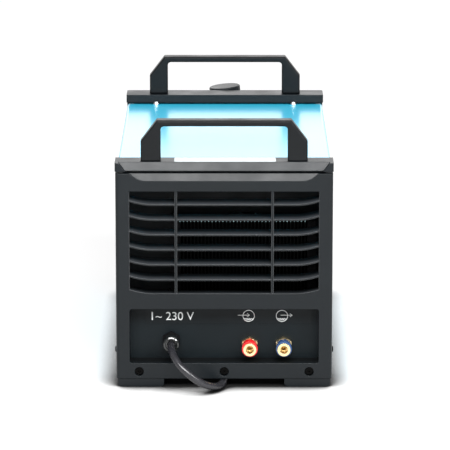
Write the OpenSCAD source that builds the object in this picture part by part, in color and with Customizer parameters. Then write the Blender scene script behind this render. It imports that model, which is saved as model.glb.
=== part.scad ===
// Torch cooling unit of a plasma cutter: a liquid cooler in a blue sheet-steel
// cover between two moulded bezels. Millimetres, +Z up, floor at z = 0. The
// connector end faces -Y, the control end faces +Y, and x = 0 is the centre line.
// Depths inside the modules run from the connector end's face (depth 0) to +Y.

/* [Case] */
// Width of the moulded bezels
case_w = 240; // [230:2:260]
// Height of the trims' top face above the floor
case_h = 254; // [250:1:262]
// Length from the connector end's face to the control end's trim
body_l = 460; // [440:5:520]
// How far the tank nose stands out beyond the control end's trim
nose_l = 45; // [44:1:50]
// Length of each bezel and trim
bezel_l = 34; // [32:1:38]
// Wall of the moulded parts
wall = 3; // [2.4:0.2:3.4]
// Height of the feet
foot_h = 9.6; // [9.2:0.2:12]
// Thickness of the trims
trim_t = 9.5; // [8.5:0.5:11]
// Height of the shadow seam under a trim
seam_h = 2.2; // [1.6:0.2:3]
// Sheet steel of the cover and the base pan
sheet_t = 1.2; // [0.8:0.1:1.4]
// Depth of the scooped bevel along the connector end's upper edge
scoop_d = 9; // [6:0.5:9]

/* [Handles] */
// Width over both legs
handle_w = 184; // [176:2:190]
// Width of the finger window
handle_gap = 140; // [130:2:144]
// Height of a handle above its trim
handle_h = 46; // [42:1:56]
// Thickness of the grip bar
grip_t = 6.8; // [6:0.2:10]
// Depth of a handle front to back
handle_d = 16; // [14:1:18]

/* [Louvres] */
// Width of the frame on each side of the louvre window
louvre_side = 15.3; // [14:0.1:20]
// Height of the window sill above the floor
sill_z = 107; // [106:0.5:108]
// Height of the case above the window head
louvre_drop = 31.5; // [30:0.5:34]
// Pitch of the slats
slat_pitch = 17; // [16:0.5:18]
// Thickness of a slat
slat_t = 1.8; // [1.4:0.2:2.4]
// Depth of the slats
slat_d = 14; // [10:1:16]
// Fall of a slat from its back edge to its front edge
slat_fall = 3.4; // [2:0.2:4]
// How far the slats curl up at their ends
slat_curl = 4.5; // [3:0.5:5]

/* [Connectors] */
// Depth of the connector recess
recess_d = 24; // [22:1:26]
// Width of the frame on each side of the connector recess
recess_side = 15; // [14:0.5:17]
// Lower edge of the connector recess
recess_z0 = 27.3; // [27:0.1:28]
// Upper edge of the connector recess
recess_z1 = 89.2; // [88:0.2:90]
// Sideways place of the cable gland
gland_x = -59; // [-62:1:-56]
// Height of the cable gland
gland_z = 47.3; // [46:0.1:48]
// Diameter of the mains lead
cord_d = 8.4; // [8:0.1:8.6]
// Sideways place of the return coupling
return_x = 28.5; // [27:0.5:30]
// Sideways place of the supply coupling
supply_x = 66.5; // [65:0.5:68]
// Height of both couplings
coupling_z = 42.5; // [42:0.5:44]
// Diameter of a coupling's socket
socket_d = 8.9; // [8.5:0.1:9]
// Travel of a coupling's release sleeve
sleeve_travel = 2.7; // [2:0.1:3]
// Travel of a coupling's valve pin
valve_travel = 3; // [2:0.5:4]

/* [Filler] */
// Diameter of the filler cap
cap_d = 38; // [36:1:38]
// Height of the filler cap
cap_h = 14; // [12:1:14]
// Bore of the filler neck
neck_bore = 24; // [20:1:25]
// Lean of the filler neck to the side, in degrees
neck_lean = 5.5; // [0:0.5:6]

/* [Inside] */
// Outer diameter of the hoses
hose_d = 12; // [11:0.5:12.5]
// Bore of the hoses
hose_bore = 8; // [7:0.5:9]
// Side of the square fan frame
fan_w = 120; // [112:2:120]
// Diameter of the pump motor
motor_d = 96; // [88:2:98]
// Pitch of the radiator fins
fin_pitch = 4; // [3.5:0.5:5]

/* [Hidden] */

$fn = 48;
eps = 0.01;
fit = 0.3;
slide_fit = 0.05;

// Levels and depths that several pieces share
total_l = body_l + nose_l;
rear_y = -total_l / 2;
trim_z = case_h - trim_t;
bezel_top = trim_z - seam_h;
cover_top = bezel_top - 0.2;
cover_x = case_w / 2 - fit;
flange_x = cover_x - sheet_t - fit;
pan_x = flange_x - wall - fit;
pan_z = foot_h + wall + 0.2;
floor_z = pan_z + sheet_t;
cover_r = 4;
cover_d0 = 22.5;
ledge_d0 = 20;
ledge_d1 = 46;
ledge_t = 2.6;
ledge_z = cover_top - sheet_t;
flange_d = 14;
flange_h = 10;
side_flange_z = 46;
bezel_screw_x = case_w / 2 - 25.5;
bezel_screw_z = 17.6;
bezel_screw_head = 8;
counterbore_d = 10.2;
counterbore_depth = 6;
screw_shank = 3.9;
screw_hole = 4.2;
top_screw_x = case_w / 2 - 36;
top_screw_d = 39;
top_screw_l = 8;
side_screw_d = 26;
side_screw_z = 37;
side_screw_l = 9;
pan_head_d = 7.5;
pan_head_h = 2.4;
cover_head_h = 4.4;
handle_d0 = 10;
leg_x = (handle_w + handle_gap) / 4;
handle_screw_y = 4.2;
louvre_w = case_w - 2 * louvre_side;
head_z = case_h - louvre_drop;
slat_d0 = 0.8;
slat_drop = 2.85;
slat_n = floor((head_z - sill_z - slat_t) / slat_pitch);
rib_x = louvre_w / 4 + 1;
rib_w = 2.8;
frame_t = 2.4;
curl_w = 27;

// Scooped bevel: half of the upper edge of the face, as sideways place and rise above
// the bevel's low line
scoop_run = 19.8;
scoop_low = case_h - scoop_run;
scoop_x = case_w / 2;
scoop_edge = [
    [0, 0], [scoop_x - 35, 0], [scoop_x - 30.6, 0.2], [scoop_x - 26.7, 1.1],
    [scoop_x - 22.8, 2.7], [scoop_x - 19.6, 4.9], [scoop_x - 16.5, 7], [scoop_x - 11.3, 10],
    [scoop_x - 3.3, 19.8], [scoop_x - 1, 23]
];

// Connector end
gland_hex = 19;
gland_hex_l = 5;
gland_nut_d = 18;
gland_nut_l = 16;
gland_thread_d = 15.8;
gland_d0 = recess_d - gland_hex_l - gland_nut_l;
recess_w = case_w - 2 * recess_side;
panel_t = 1.5;
panel_w = recess_w + 2 * frame_t + 2;
strip_x0 = 17 - recess_w / 2;
strip_x1 = recess_w / 2 - 7;
strip_z0 = recess_z1 - 22.5;
strip_z1 = recess_z1 - 1.2;
film_t = 0.25;
top_label_x = 1;
top_label_w = 112;
top_label_l = 22.4;
top_label_d0 = scoop_d + 0.6;
coupling_hex = 17;
coupling_hex_l = 7;
coupling_barrel_d = 14.4;
coupling_thread_d = 12.8;
sleeve_d = 17.3;
sleeve_d0 = 3;
sleeve_d1 = recess_d - coupling_hex_l - sleeve_travel - fit;
socket_l = 12;
seat_t = 1;
seat_d = 7;
poppet_d = 9.6;
poppet_l = 5;
chamber_d1 = socket_l + seat_t + poppet_l + valve_travel + 1;
barb_d0 = 38;
barb_l = 14;

// Control end
nose_w = 150;
nose_z0 = 40;
nose_z1 = case_h - 18;
nose_flange = 8;
nose_flange_t = 2.5;
opening_w = nose_w - 16;
opening_z0 = 52;
opening_z1 = nose_z1 - 6;
vent_x0 = nose_w / 2 + nose_flange + 7;
vent_w = 3.5;
vent_pitch = 6.5;
vent_n = floor((case_w / 2 - wall - 5 - vent_x0) / vent_pitch);
vent_z0 = 60;
vent_z1 = case_h - 44;
neck_x = 0;
neck_d = body_l + nose_l - cap_d / 2 - 6;
neck_od = neck_bore + 6;
neck_top = case_h - 3;
cap_wall = 2.5;
gasket_t = 2;
switch_x = 44;
switch_z = nose_z1 - 50;
switch_w = 27;
switch_h = 22;
switch_l = 22;
panel_sink = 5;
controls_d = total_l - panel_sink;
controls_x = 44;
controls_w = 48;
controls_h = 102;
controls_z0 = nose_z1 - 30 - controls_h;
rocker_angle = 12;
lamp_x = 44;
lamp_z = [switch_z - 40, switch_z - 64];
lamp_d = 12;
window_x = -38;
window_z0 = 84;
window_z1 = nose_z1 - 40;
window_w = 16;

// Inside
tank_d0 = 340;
tank_d1 = body_l - flange_d - 8;
tank_w = 190;
tank_top = case_h - 50;
tank_wall = 3;
spout_x0 = -62;
spout_x1 = 18;
spout_z0 = 76;
spout_z1 = opening_z1 - 6;
spout_d1 = body_l + nose_l - wall - 7;
bulkhead_d = 96;
bulkhead_t = 1.5;
bulkhead_z1 = cover_top - 10.1;
core_x0 = -50;
core_x1 = 93;
core_z0 = 66;
core_z1 = 178;
core_d0 = 54;
core_d1 = 90;
header_w = 10;
fan_x = (core_x0 + core_x1) / 2;
fan_z = (core_z0 + core_z1) / 2;
fan_d0 = bulkhead_d + bulkhead_t;
fan_l = 38;
fan_bore = fan_w - 6;
fan_hub = 38;
fan_blades = 7;
fan_pin_d = 6;
pump_x = -35;
pump_z = 75;
pump_d0 = 140;
pump_l = 40;
pump_r = 30;
motor_d0 = pump_d0 + pump_l;
motor_l = 130;
shaft_d = 10;
suction_z = 62;
pressure_z = pump_z + 10;
hose_bend = 13;
barb_d = hose_bore - 0.1;
barb_bore = hose_bore - 3;
clip_w = 7;
clip_d = hose_d + 2;

capacitor_x = pan_x - 35.5;
capacitor_d0 = motor_d0 + 70;
capacitor_h = 72;
capacitor_d = 36;
terminal_x = pan_x - 35.5;
terminal_d0 = pump_d0 + 12;
terminal_w = 36;
terminal_l = 50;
terminal_h = 20;

// Mains lead: from the gland down to the floor, then under the case to the coil
coil_r = 58.5;
coil_pitch = 9;
coil_turns = 4.75;
coil_gap = 15;
lane_x = 0;
cord_r = cord_d / 2;
coil_x = lane_x + coil_r;
coil_y = total_l / 2 + coil_gap + cord_r + coil_r;
cord_points = [
    [gland_x, rear_y + recess_d - 4, gland_z], [gland_x, rear_y + gland_d0, gland_z],
    [gland_x, rear_y - 3.5, gland_z],
    [-58, rear_y - 14, 44.8], [-55, rear_y - 23.5, 40], [-49.5, rear_y - 31, 33.5],
    [-41.5, rear_y - 35.5, 26.4], [-33, rear_y - 36, 19.3], [-23.5, rear_y - 33, 12.7],
    [-14, rear_y - 26, 7.8], [-6.5, rear_y - 14.5, 4.9], [-2, rear_y, 4.3],
    [-0.5, rear_y + 16, 4.2], [0.5, rear_y + 34, 4.2], [2, rear_y + 70, 4.2],
    [4, rear_y + 120, 4.2], [4, rear_y + 190, 4.2], [1, rear_y + 260, 4.2],
    [-2, rear_y + 330, 4.2],
    [-3, rear_y + 400, 4.2], [-1, rear_y + 460, 4.2], [0, rear_y + 510, 4.2],
    [lane_x, coil_y - 20, 4.2], [lane_x, coil_y - cord_d, 4.2]
];
tail_points = [
    [coil_x - cord_d, coil_y - coil_r, 13.2], [coil_x - 26, coil_y - coil_r, 13.2],
    [coil_x - 44, coil_y - coil_r, 13.2], [-2, coil_y - coil_r, 13.2],
    [-12, coil_y - coil_r, 11.6], [-22, coil_y - coil_r, 7.6], [-31, coil_y - coil_r, 5],
    [-38, coil_y - coil_r, 4.2], [-44, coil_y - coil_r, 4.5], [-52, coil_y - coil_r, 6.4]
];

// Mains plug, lying on its rim and on the end of its neck
plug_r = 18.5;
plug_neck_r = 6.2;
plug_neck_l = 18;
plug_body_l = 34;
plug_rim_l = plug_neck_l + plug_body_l - 1;
plug_end_z = 6.4;
plug_tilt = acos((plug_end_z - 0.1) / norm([plug_r, plug_rim_l])) - atan2(plug_rim_l, plug_r);
plug_pin_d = 4.8;
plug_anchor_d = 3.6;
plug_anchor_l = 8;
plug_pin_l = 19;
plug_pin_gap = 19;
plug_groove_y = 15.6;

// ---------------------------------------------------------------- shapes
module rounded(w, h, r) {
    // Rectangle centred on x with its lower edge on y = 0 and true round corners
    union() {
        if (w > 2 * r + eps)
            translate([-w / 2 + r, 0]) square([w - 2 * r, h]);
        if (h > 2 * r + eps)
            translate([-w / 2, r]) square([w, h - 2 * r]);
        for (sx = [-1, 1])
            for (y = [r, h - r])
                translate([sx * (w / 2 - r), y]) circle(r);
    }
}

module upright(d0, d1) {
    // Extrudes a sideways-by-height outline from depth d0 to depth d1
    translate([0, rear_y + d1, 0]) rotate([90, 0, 0]) linear_extrude(d1 - d0) children();
}

module slab(x0, x1, d0, d1, z0, z1) {
    translate([x0, rear_y + d0, z0]) cube([x1 - x0, d1 - d0, z1 - z0]);
}

module rod_y(x, z, d0, d1, d) {
    translate([x, rear_y + d0, z]) rotate([-90, 0, 0]) cylinder(d = d, h = d1 - d0);
}

module rod_z(x, dy, z0, z1, d) {
    translate([x, rear_y + dy, z0]) cylinder(d = d, h = z1 - z0);
}

module hex_y(x, z, d0, d1, across) {
    // Hexagonal bar with a corner on top
    translate([x, rear_y + d0, z])
        rotate([-90, 0, 0])
            rotate([0, 0, 30])
                cylinder(d = across / cos(30), h = d1 - d0, $fn = 6);
}

module other_end() {
    // Turns a piece of the connector end round to the control end
    translate([0, rear_y + body_l / 2, 0])
        rotate([0, 0, 180])
            translate([0, -rear_y - body_l / 2, 0])
                children();
}

// Outline drawn in by c on every side, for points in counter-clockwise order
function unit(v) = v / norm(v);
function inward(a, b) = unit([a[1] - b[1], b[0] - a[0]]);
function drawn_in(p, c) = [
    for (i = [0:len(p) - 1])
        let (a = p[(i + len(p) - 1) % len(p)], b = p[i], d = p[(i + 1) % len(p)],
             m = inward(a, b), n = inward(b, d))
            b + (m + n) * c / (1 + m * n)
];

module chamfered(p, caps, d0, d1, c) {
    // Upright bar of outline p, whose area is cut into caps, from depth d0 to d1
    n = len(p);
    q = drawn_in(p, c);
    rings = [[q, d0], [p, d0 + c], [p, d1 - c], [q, d1]];
    points = [for (r = rings) for (v = r[0]) [v[0], rear_y + r[1], v[1]]];
    polyhedron(points, concat(
        [for (f = caps) [for (i = [len(f) - 1:-1:0]) f[i]]],
        [for (k = [0:2]) for (i = [0:n - 1])
            [k * n + i, k * n + (i + 1) % n, (k + 1) * n + (i + 1) % n, (k + 1) * n + i]],
        [for (f = caps) [for (i = f) 3 * n + i]]
    ));
}

// ---------------------------------------------------------------- case
function curl(x) = abs(x) < louvre_w / 2 - curl_w ? 0
    : slat_curl * pow((abs(x) - louvre_w / 2 + curl_w) / curl_w, 2);
curl_x = [
    for (i = [-8:8])
        let (s = sign(i), k = abs(i) - 1)
            i == 0 ? 0 : s * (louvre_w / 2 - curl_w + curl_w * k / 7)
];

module scoop() {
    // Cut for the bevel: all that is above its slope and over the face's upper edge
    n = len(scoop_edge);
    left = [for (i = [n - 1:-1:1]) [-scoop_edge[i][0], scoop_edge[i][1]]];
    above = [[scoop_edge[n - 1][0], 60], [-scoop_edge[n - 1][0], 60]];
    slope = scoop_run / scoop_d;
    reach = scoop_d + 2;
    intersection() {
        upright(-1, reach)
            translate([0, scoop_low])
                polygon(concat(left, scoop_edge, above));
        translate([-case_w, rear_y, scoop_low])
            rotate([90, 0, 90])
                linear_extrude(2 * case_w)
                    polygon([[-1, -slope], [reach, reach * slope], [reach, 70], [-1, 70]]);
    }
}

module end_block(w, l, z0, z1, r) {
    // Outer block of an end, l deep, with rounded upright edges
    intersection() {
        translate([0, 0, z0])
            linear_extrude(z1 - z0)
                translate([0, rear_y])
                    rounded(w, 2 * bezel_l, r);
        slab(-w, w, 0, l, z0, z1);
    }
}

module screw_bosses() {
    for (x = [-bezel_screw_x, 0, bezel_screw_x])
        rod_y(x, bezel_screw_z, eps, flange_d, 14);
}

module bezel_holes() {
    for (x = [-bezel_screw_x, 0, bezel_screw_x]) {
        rod_y(x, bezel_screw_z, -1, counterbore_depth, counterbore_d);
        rod_y(x, bezel_screw_z, 0, flange_d + 1, screw_hole);
    }
    for (sx = [-1, 1])
        translate([sx * (flange_x + 1), rear_y + side_screw_d, side_screw_z])
            rotate([0, -sx * 90, 0])
                cylinder(d = screw_hole, h = wall + 2);
    for (x = [-top_screw_x, top_screw_x])
        rod_z(x, top_screw_d, ledge_z - ledge_t - 1, ledge_z + 1, screw_hole);
}

module flange_profile() {
    // Arch that the cover slips over, open below
    low = foot_h - 2 * cover_r;
    difference() {
        translate([0, low])
            rounded(2 * flange_x, ledge_z - low, cover_r - sheet_t);
        translate([0, low - 1])
            rounded(2 * (flange_x - wall), ledge_z - ledge_t - low + 1, 1);
        translate([-case_w, low - 1])
            square([2 * case_w, foot_h - low + 2]);
    }
}

module bezel_shell() {
    // Shell common to both ends: face block, floor lip, flange under the cover, bosses
    block_l = cover_d0 - fit;
    difference() {
        union() {
            difference() {
                end_block(case_w, block_l, foot_h, bezel_top, 4);
                slab(-case_w / 2 + wall, case_w / 2 - wall, wall, ledge_d0,
                    foot_h + wall, ledge_z - ledge_t);
                slab(-flange_x + wall, flange_x - wall, ledge_d0 - 1, block_l + 1,
                    foot_h + wall, ledge_z - ledge_t);
            }
            slab(-case_w / 2, case_w / 2, block_l - 1, bezel_l, foot_h, foot_h + wall);
            upright(ledge_d0, ledge_d1) flange_profile();
            intersection() {
                screw_bosses();
                slab(-case_w / 2, case_w / 2, 0, bezel_l, foot_h, case_h);
            }
        }
        bezel_holes();
    }
}

module window_outline(grow) {
    // Louvre window: flat head, sill that curls up at its ends
    polygon(concat(
        [for (x = curl_x) [x + grow * sign(x), sill_z + curl(x) - grow]],
        [[louvre_w / 2 + grow, head_z + grow], [-louvre_w / 2 - grow, head_z + grow]]
    ));
}

module slat(k) {
    // Falls towards the front, and its ends curl up as the sill does
    z = sill_z + k * slat_pitch - slat_drop;
    n = len(curl_x);
    section = [[slat_d0, 0], [slat_d0, slat_t], [slat_d, slat_t + slat_fall], [slat_d, slat_fall]];
    points = [
        for (x = curl_x) for (s = section) [x + 0.5 * sign(x), rear_y + s[0], z + curl(x) + s[1]]
    ];
    polyhedron(points, concat(
        [[3, 2, 1, 0]],
        [for (i = [0:n - 2]) for (j = [0:3])
            [4 * i + j, 4 * i + (j + 1) % 4, 4 * i + 4 + (j + 1) % 4, 4 * i + 4 + j]],
        [[for (j = [0:3]) 4 * n - 4 + j]]
    ));
}

module rear_bezel() {
    color([0.17, 0.18, 0.19]) {
        difference() {
            union() {
                bezel_shell();
                upright(wall - 1, slat_d + 1) window_outline(frame_t);
                upright(wall - 1, recess_d)
                    translate([0, recess_z0 - frame_t])
                        rounded(recess_w + 2 * frame_t, recess_z1 - recess_z0 + 2 * frame_t, 5);
            }
            scoop();
            upright(-1, slat_d + 2) window_outline(0);
            upright(-1, recess_d + 1)
                translate([0, recess_z0])
                    rounded(recess_w, recess_z1 - recess_z0, 2.6);
        }
        for (k = [1:slat_n])
            slat(k);
        for (x = [-rib_x, rib_x])
            slab(x - rib_w / 2, x + rib_w / 2, 0.2, slat_d, sill_z - 1, head_z + 1);
    }
}

module front_bezel() {
    // Same shell with a middle opening for the tank and upright vents beside it
    color([0.17, 0.18, 0.19])
        difference() {
            other_end() bezel_shell();
            slab(-opening_w / 2, opening_w / 2, body_l - wall - 1, body_l + 1,
                opening_z0, opening_z1);
            for (sx = [-1, 1])
                for (k = [0:vent_n])
                    translate([sx * (vent_x0 + vent_pitch * k), rear_y + body_l - wall - 1, vent_z0])
                        translate([-vent_w / 2, 0, 0])
                            cube([vent_w, wall + 2, vent_z1 - vent_z0]);
        }
}

module trim_block() {
    difference() {
        union() {
            end_block(case_w + 1, bezel_l, trim_z, case_h, 3);
            slab(-case_w / 2 + 8, case_w / 2 - 8, scoop_d + 1, ledge_d0, bezel_top, trim_z + eps);
        }
        for (sx = [-1, 1])
            for (sy = [-1, 1])
                translate([sx * leg_x, rear_y + handle_d0 + handle_d / 2 + sy * handle_screw_y, 0]) {
                    translate([0, 0, bezel_top - 1]) cylinder(d = screw_hole, h = case_h);
                    translate([0, 0, bezel_top - 1]) cylinder(d = 6.6, h = 6);
                }
    }
}

module rear_trim() {
    color([0.2, 0.21, 0.22])
        difference() {
            trim_block();
            scoop();
        }
}

module front_trim() {
    color([0.2, 0.21, 0.22]) other_end() trim_block();
}

module handle_bar() {
    w = handle_w / 2;
    g = handle_gap / 2;
    under = case_h + handle_h - grip_t;
    r = 4;
    corner = [for (a = [0:15:90]) [g - r + r * cos(a), under - r + r * sin(a)]];
    m = len(corner);
    outline = concat(
        [[w, case_h], [w, case_h + 22.5], [w - 18, case_h + handle_h]],
        [[-w + 18, case_h + handle_h], [-w, case_h + 22.5], [-w, case_h], [-g, case_h]],
        [for (i = [0:m - 1]) [-corner[i][0], corner[i][1]]],
        [for (i = [m - 1:-1:0]) corner[i]],
        [[g, case_h]]
    );
    // Legs, bar and corner fans that fill the outline
    caps = concat(
        [[0, 1, 6 + 2 * m, 7 + 2 * m], [1, 2, 6 + 2 * m], [2, 3, 6 + m, 7 + m], [3, 4, 7]],
        [[4, 5, 6, 7]],
        [for (k = [7:5 + m]) [3, k, k + 1]],
        [for (k = [7 + m:5 + 2 * m]) [2, k, k + 1]]
    );
    difference() {
        chamfered(outline, caps, handle_d0, handle_d0 + handle_d, 1.4);
        for (sx = [-1, 1])
            for (sy = [-1, 1])
                translate([sx * leg_x, rear_y + handle_d0 + handle_d / 2 + sy * handle_screw_y,
                    case_h - 1])
                    cylinder(d = screw_hole, h = 13);
    }
}

module rear_handle() {
    color([0.16, 0.17, 0.18]) handle_bar();
}

module front_handle() {
    color([0.16, 0.17, 0.18]) other_end() handle_bar();
}

module cover_profile() {
    // Bent sheet, open below
    low = pan_z - 2 * cover_r;
    difference() {
        translate([0, low])
            rounded(2 * cover_x, cover_top - low, cover_r);
        translate([0, low - 1])
            rounded(2 * cover_x - 2 * sheet_t, cover_top - sheet_t - low + 1, cover_r - sheet_t);
        translate([-case_w, low - 1])
            square([2 * case_w, pan_z - low + 1]);
    }
}

module cover() {
    color([0.3, 0.75, 0.9])
        difference() {
            upright(cover_d0, body_l - cover_d0) cover_profile();
            for (dy = [top_screw_d, body_l - top_screw_d])
                for (x = [-top_screw_x, top_screw_x])
                    rod_z(x, dy, cover_top - 5, cover_top + 5, screw_hole);
            for (dy = [side_screw_d, body_l - side_screw_d])
                translate([-case_w, rear_y + dy, side_screw_z])
                    rotate([0, 90, 0])
                        cylinder(d = screw_hole, h = 2 * case_w);
        }
}

module base_pan() {
    color([0.45, 0.46, 0.48])
        difference() {
            union() {
                slab(-pan_x, pan_x, flange_d, body_l - flange_d, pan_z, floor_z);
                for (sx = [-1, 1])
                    slab(sx * (pan_x - sheet_t / 2) - sheet_t / 2,
                        sx * (pan_x - sheet_t / 2) + sheet_t / 2,
                        flange_d, body_l - flange_d, pan_z, side_flange_z);
                for (dy = [flange_d, body_l - flange_d - sheet_t])
                    slab(-pan_x, pan_x, dy, dy + sheet_t, pan_z, floor_z + flange_h);
            }
            for (dy = [flange_d, body_l - flange_d - sheet_t])
                for (x = [-bezel_screw_x, 0, bezel_screw_x])
                    rod_y(x, bezel_screw_z, dy - 1, dy + sheet_t + 1, screw_hole);
            for (dy = [side_screw_d, body_l - side_screw_d])
                translate([-case_w, rear_y + dy, side_screw_z])
                    rotate([0, 90, 0])
                        cylinder(d = screw_hole, h = 2 * case_w);
        }
}

module feet() {
    // One moulded pad under each corner, rounded below
    foot_w = 51;
    foot_l = 60;
    color([0.15, 0.16, 0.17])
        for (sx = [-1, 1])
            for (dy = [1, body_l - 1 - foot_l])
                upright(dy, dy + foot_l)
                    translate([sx * (case_w / 2 - 2 - foot_w / 2), 0])
                        union() {
                            rounded(foot_w, foot_h, foot_h / 2 - 0.5);
                            translate([-foot_w / 2, foot_h / 2]) square([foot_w, foot_h / 2]);
                        }
}

module connector_panel() {
    color([0.14, 0.16, 0.18])
        difference() {
            slab(-panel_w / 2, panel_w / 2, recess_d, recess_d + panel_t, floor_z,
                recess_z1 + frame_t + 1);
            rod_y(gland_x, gland_z, recess_d - 1, recess_d + panel_t + 1, gland_thread_d + 0.4);
            for (x = [return_x, supply_x])
                rod_y(x, coupling_z, recess_d - 1, recess_d + panel_t + 1,
                    coupling_thread_d + 0.4);
        }
}

module panel_label() {
    color([0.1, 0.12, 0.14])
        slab(strip_x0, strip_x1, recess_d - film_t, recess_d, strip_z0, strip_z1);
}

module top_label() {
    color([0.93, 0.94, 0.95])
        translate([top_label_x, rear_y + top_label_d0, case_h])
            linear_extrude(film_t)
                rounded(top_label_w, top_label_l, 2);
}

// ---------------------------------------------------------------- fasteners
module pan_screw(l, h) {
    // Head of height h on z = 0 upwards, shank of length l down
    rotate_extrude()
        polygon([
            [0, -l], [screw_shank / 2, -l], [screw_shank / 2, 0], [pan_head_d / 2, 0],
            [pan_head_d / 2, h * 0.4], [pan_head_d * 0.42, h * 0.8], [pan_head_d * 0.28, h], [0, h]
        ]);
}

module recessed_pan_screw(l, h) {
    difference() {
        pan_screw(l, h);
        for (a = [0, 90])
            rotate([0, 0, a])
                translate([-2, -0.4, h - 1.2])
                    cube([4, 0.8, 2]);
    }
}

module handle_screws() {
    color([0.5, 0.5, 0.52])
        for (turn = [0, 1])
            for (sx = [-1, 1])
                for (sy = [-1, 1])
                    if (turn == 0)
                        handle_screw(sx, sy);
                    else
                        other_end() handle_screw(sx, sy);
}

module handle_screw(sx, sy) {
    top = bezel_top + 5;
    translate([sx * leg_x, rear_y + handle_d0 + handle_d / 2 + sy * handle_screw_y, 0]) {
        translate([0, 0, top]) cylinder(d = screw_shank, h = case_h + 11 - top);
        translate([0, 0, top - 3]) cylinder(d = 6.2, h = 3);
    }
}

module bezel_screws() {
    color([0.08, 0.08, 0.09])
        for (turn = [0, 1])
            for (x = [-bezel_screw_x, 0, bezel_screw_x])
                if (turn == 0)
                    bezel_screw(x);
                else
                    other_end() bezel_screw(x);
}

module bezel_screw(x) {
    head_d = counterbore_depth - 3;
    difference() {
        union() {
            rod_y(x, bezel_screw_z, head_d, counterbore_depth, bezel_screw_head);
            rod_y(x, bezel_screw_z, counterbore_depth, flange_d + 6, screw_shank);
        }
        hex_y(x, bezel_screw_z, head_d - 1, head_d + 2, 3);
    }
}

module cover_screws() {
    color([0.85, 0.86, 0.88])
        for (dy = [top_screw_d, body_l - top_screw_d])
            for (x = [-top_screw_x, top_screw_x])
                translate([x, rear_y + dy, cover_top]) recessed_pan_screw(top_screw_l, cover_head_h);
}

module side_screws() {
    color([0.1, 0.1, 0.11])
        for (dy = [side_screw_d, body_l - side_screw_d])
            for (sx = [-1, 1])
                translate([sx * cover_x, rear_y + dy, side_screw_z])
                    rotate([0, sx * 90, 0])
                        recessed_pan_screw(side_screw_l, pan_head_h);
}

// ---------------------------------------------------------------- cable gland
module gland_body() {
    color([0.1, 0.1, 0.11])
        difference() {
            union() {
                hex_y(gland_x, gland_z, gland_d0 + gland_nut_l, recess_d, gland_hex);
                rod_y(gland_x, gland_z, recess_d - 1, recess_d + panel_t + 8, gland_thread_d);
            }
            rod_y(gland_x, gland_z, gland_d0, recess_d + panel_t + 9, cord_d + 0.6);
        }
}

module gland_nut() {
    color([0.1, 0.1, 0.11])
        translate([gland_x, rear_y + gland_d0, gland_z])
            rotate([-90, 0, 0])
                difference() {
                    rotate_extrude()
                        polygon([
                            [cord_r + 0.3, 1.5], [cord_r + 1.8, 1.5], [cord_r + 2.2, 0],
                            [gland_nut_d / 2 - 1.9, 0], [gland_nut_d / 2 - 0.4, 0.9],
                            [gland_nut_d / 2, 2.4], [gland_nut_d / 2, gland_nut_l],
                            [cord_r + 0.3, gland_nut_l]
                        ]);
                    for (a = [0:30:330])
                        rotate([0, 0, a])
                            translate([gland_nut_d / 2 + 0.4, 0, 7])
                                cylinder(d = 1.6, h = gland_nut_l);
                }
}

module gland_locknut() {
    color([0.12, 0.12, 0.13])
        difference() {
            hex_y(gland_x, gland_z, recess_d + panel_t, recess_d + panel_t + 5, 22);
            rod_y(gland_x, gland_z, recess_d, recess_d + panel_t + 6, gland_thread_d + 0.2);
        }
}

// ---------------------------------------------------------------- mains lead
// Rings of a tube stand square to the path at each of its points
function along(p, i) = unit(p[min(i + 1, len(p) - 1)] - p[max(i - 1, 0)]);
function side_of(t) = unit(cross(t, abs(t[2]) > 0.8 ? [0, 1, 0] : [0, 0, 1]));
function ring(p, i, r, n) =
    let (t = along(p, i), u = side_of(t), v = cross(u, t))
        [for (k = [0:n - 1]) p[i] + r * (cos(360 * (k + 0.5) / n) * u + sin(360 * (k + 0.5) / n) * v)];

module tube(p, r, n) {
    m = len(p);
    points = [for (i = [0:m - 1]) each ring(p, i, r, n)];
    polyhedron(points, concat(
        [for (k = [1:n - 2]) [0, k + 1, k]],
        [for (i = [0:m - 2]) for (k = [0:n - 1]) let (a = i * n, b = (k + 1) % n)
            each [[a + k, a + n + b, a + n + k], [a + k, a + b, a + n + b]]],
        [for (k = [1:n - 2]) [(m - 1) * n, (m - 1) * n + k, (m - 1) * n + k + 1]]
    ));
}

// Smooth curve through the route's points, cut into even steps
function bend(a, b, c, d, t) = 0.5 * (2 * b + (c - a) * t + (2 * a - 5 * b + 4 * c - d) * t * t
    + (3 * b - a - 3 * c + d) * t * t * t);
function smooth(p, step) = [
    for (i = [0:len(p) - 2])
        let (a = i == 0 ? 2 * p[0] - p[1] : p[i - 1], b = p[i], c = p[i + 1],
             d = i == len(p) - 2 ? 2 * p[i + 1] - p[i] : p[i + 2],
             n = max(1, round(norm(c - b) / step)))
            for (k = [0:n - 1]) bend(a, b, c, d, k / n),
    p[len(p) - 1]
];

// Coil: spirals in on the floor and out again on top, with straight ends
coil_half = coil_turns / 2;
function coil_radius(s) = coil_r - coil_pitch * (coil_half - abs(s - coil_half));
function coil_height(s) =
    let (k = min(max((s - coil_half + 0.25) * 2, 0), 1))
        cord_r + coil_pitch * (1 - cos(180 * k)) / 2;
function coil_at(s) = [
    coil_x + coil_radius(s) * cos(180 - 360 * s),
    coil_y + coil_radius(s) * sin(180 - 360 * s),
    coil_height(s)
];
coil_steps = round(24 * coil_turns);
coil_path = concat(
    [[lane_x, coil_y - cord_d, cord_r]],
    [for (i = [0:coil_steps]) coil_at(coil_turns * i / coil_steps)],
    [[coil_x - cord_d, coil_y - coil_r, cord_r + coil_pitch]]
);
coil_self_gap = min([
    for (i = [0:2:coil_steps])
        for (j = [i + 12:1:coil_steps])
            norm(coil_at(coil_turns * i / coil_steps) - coil_at(coil_turns * j / coil_steps))
]) - cord_d;
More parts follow.
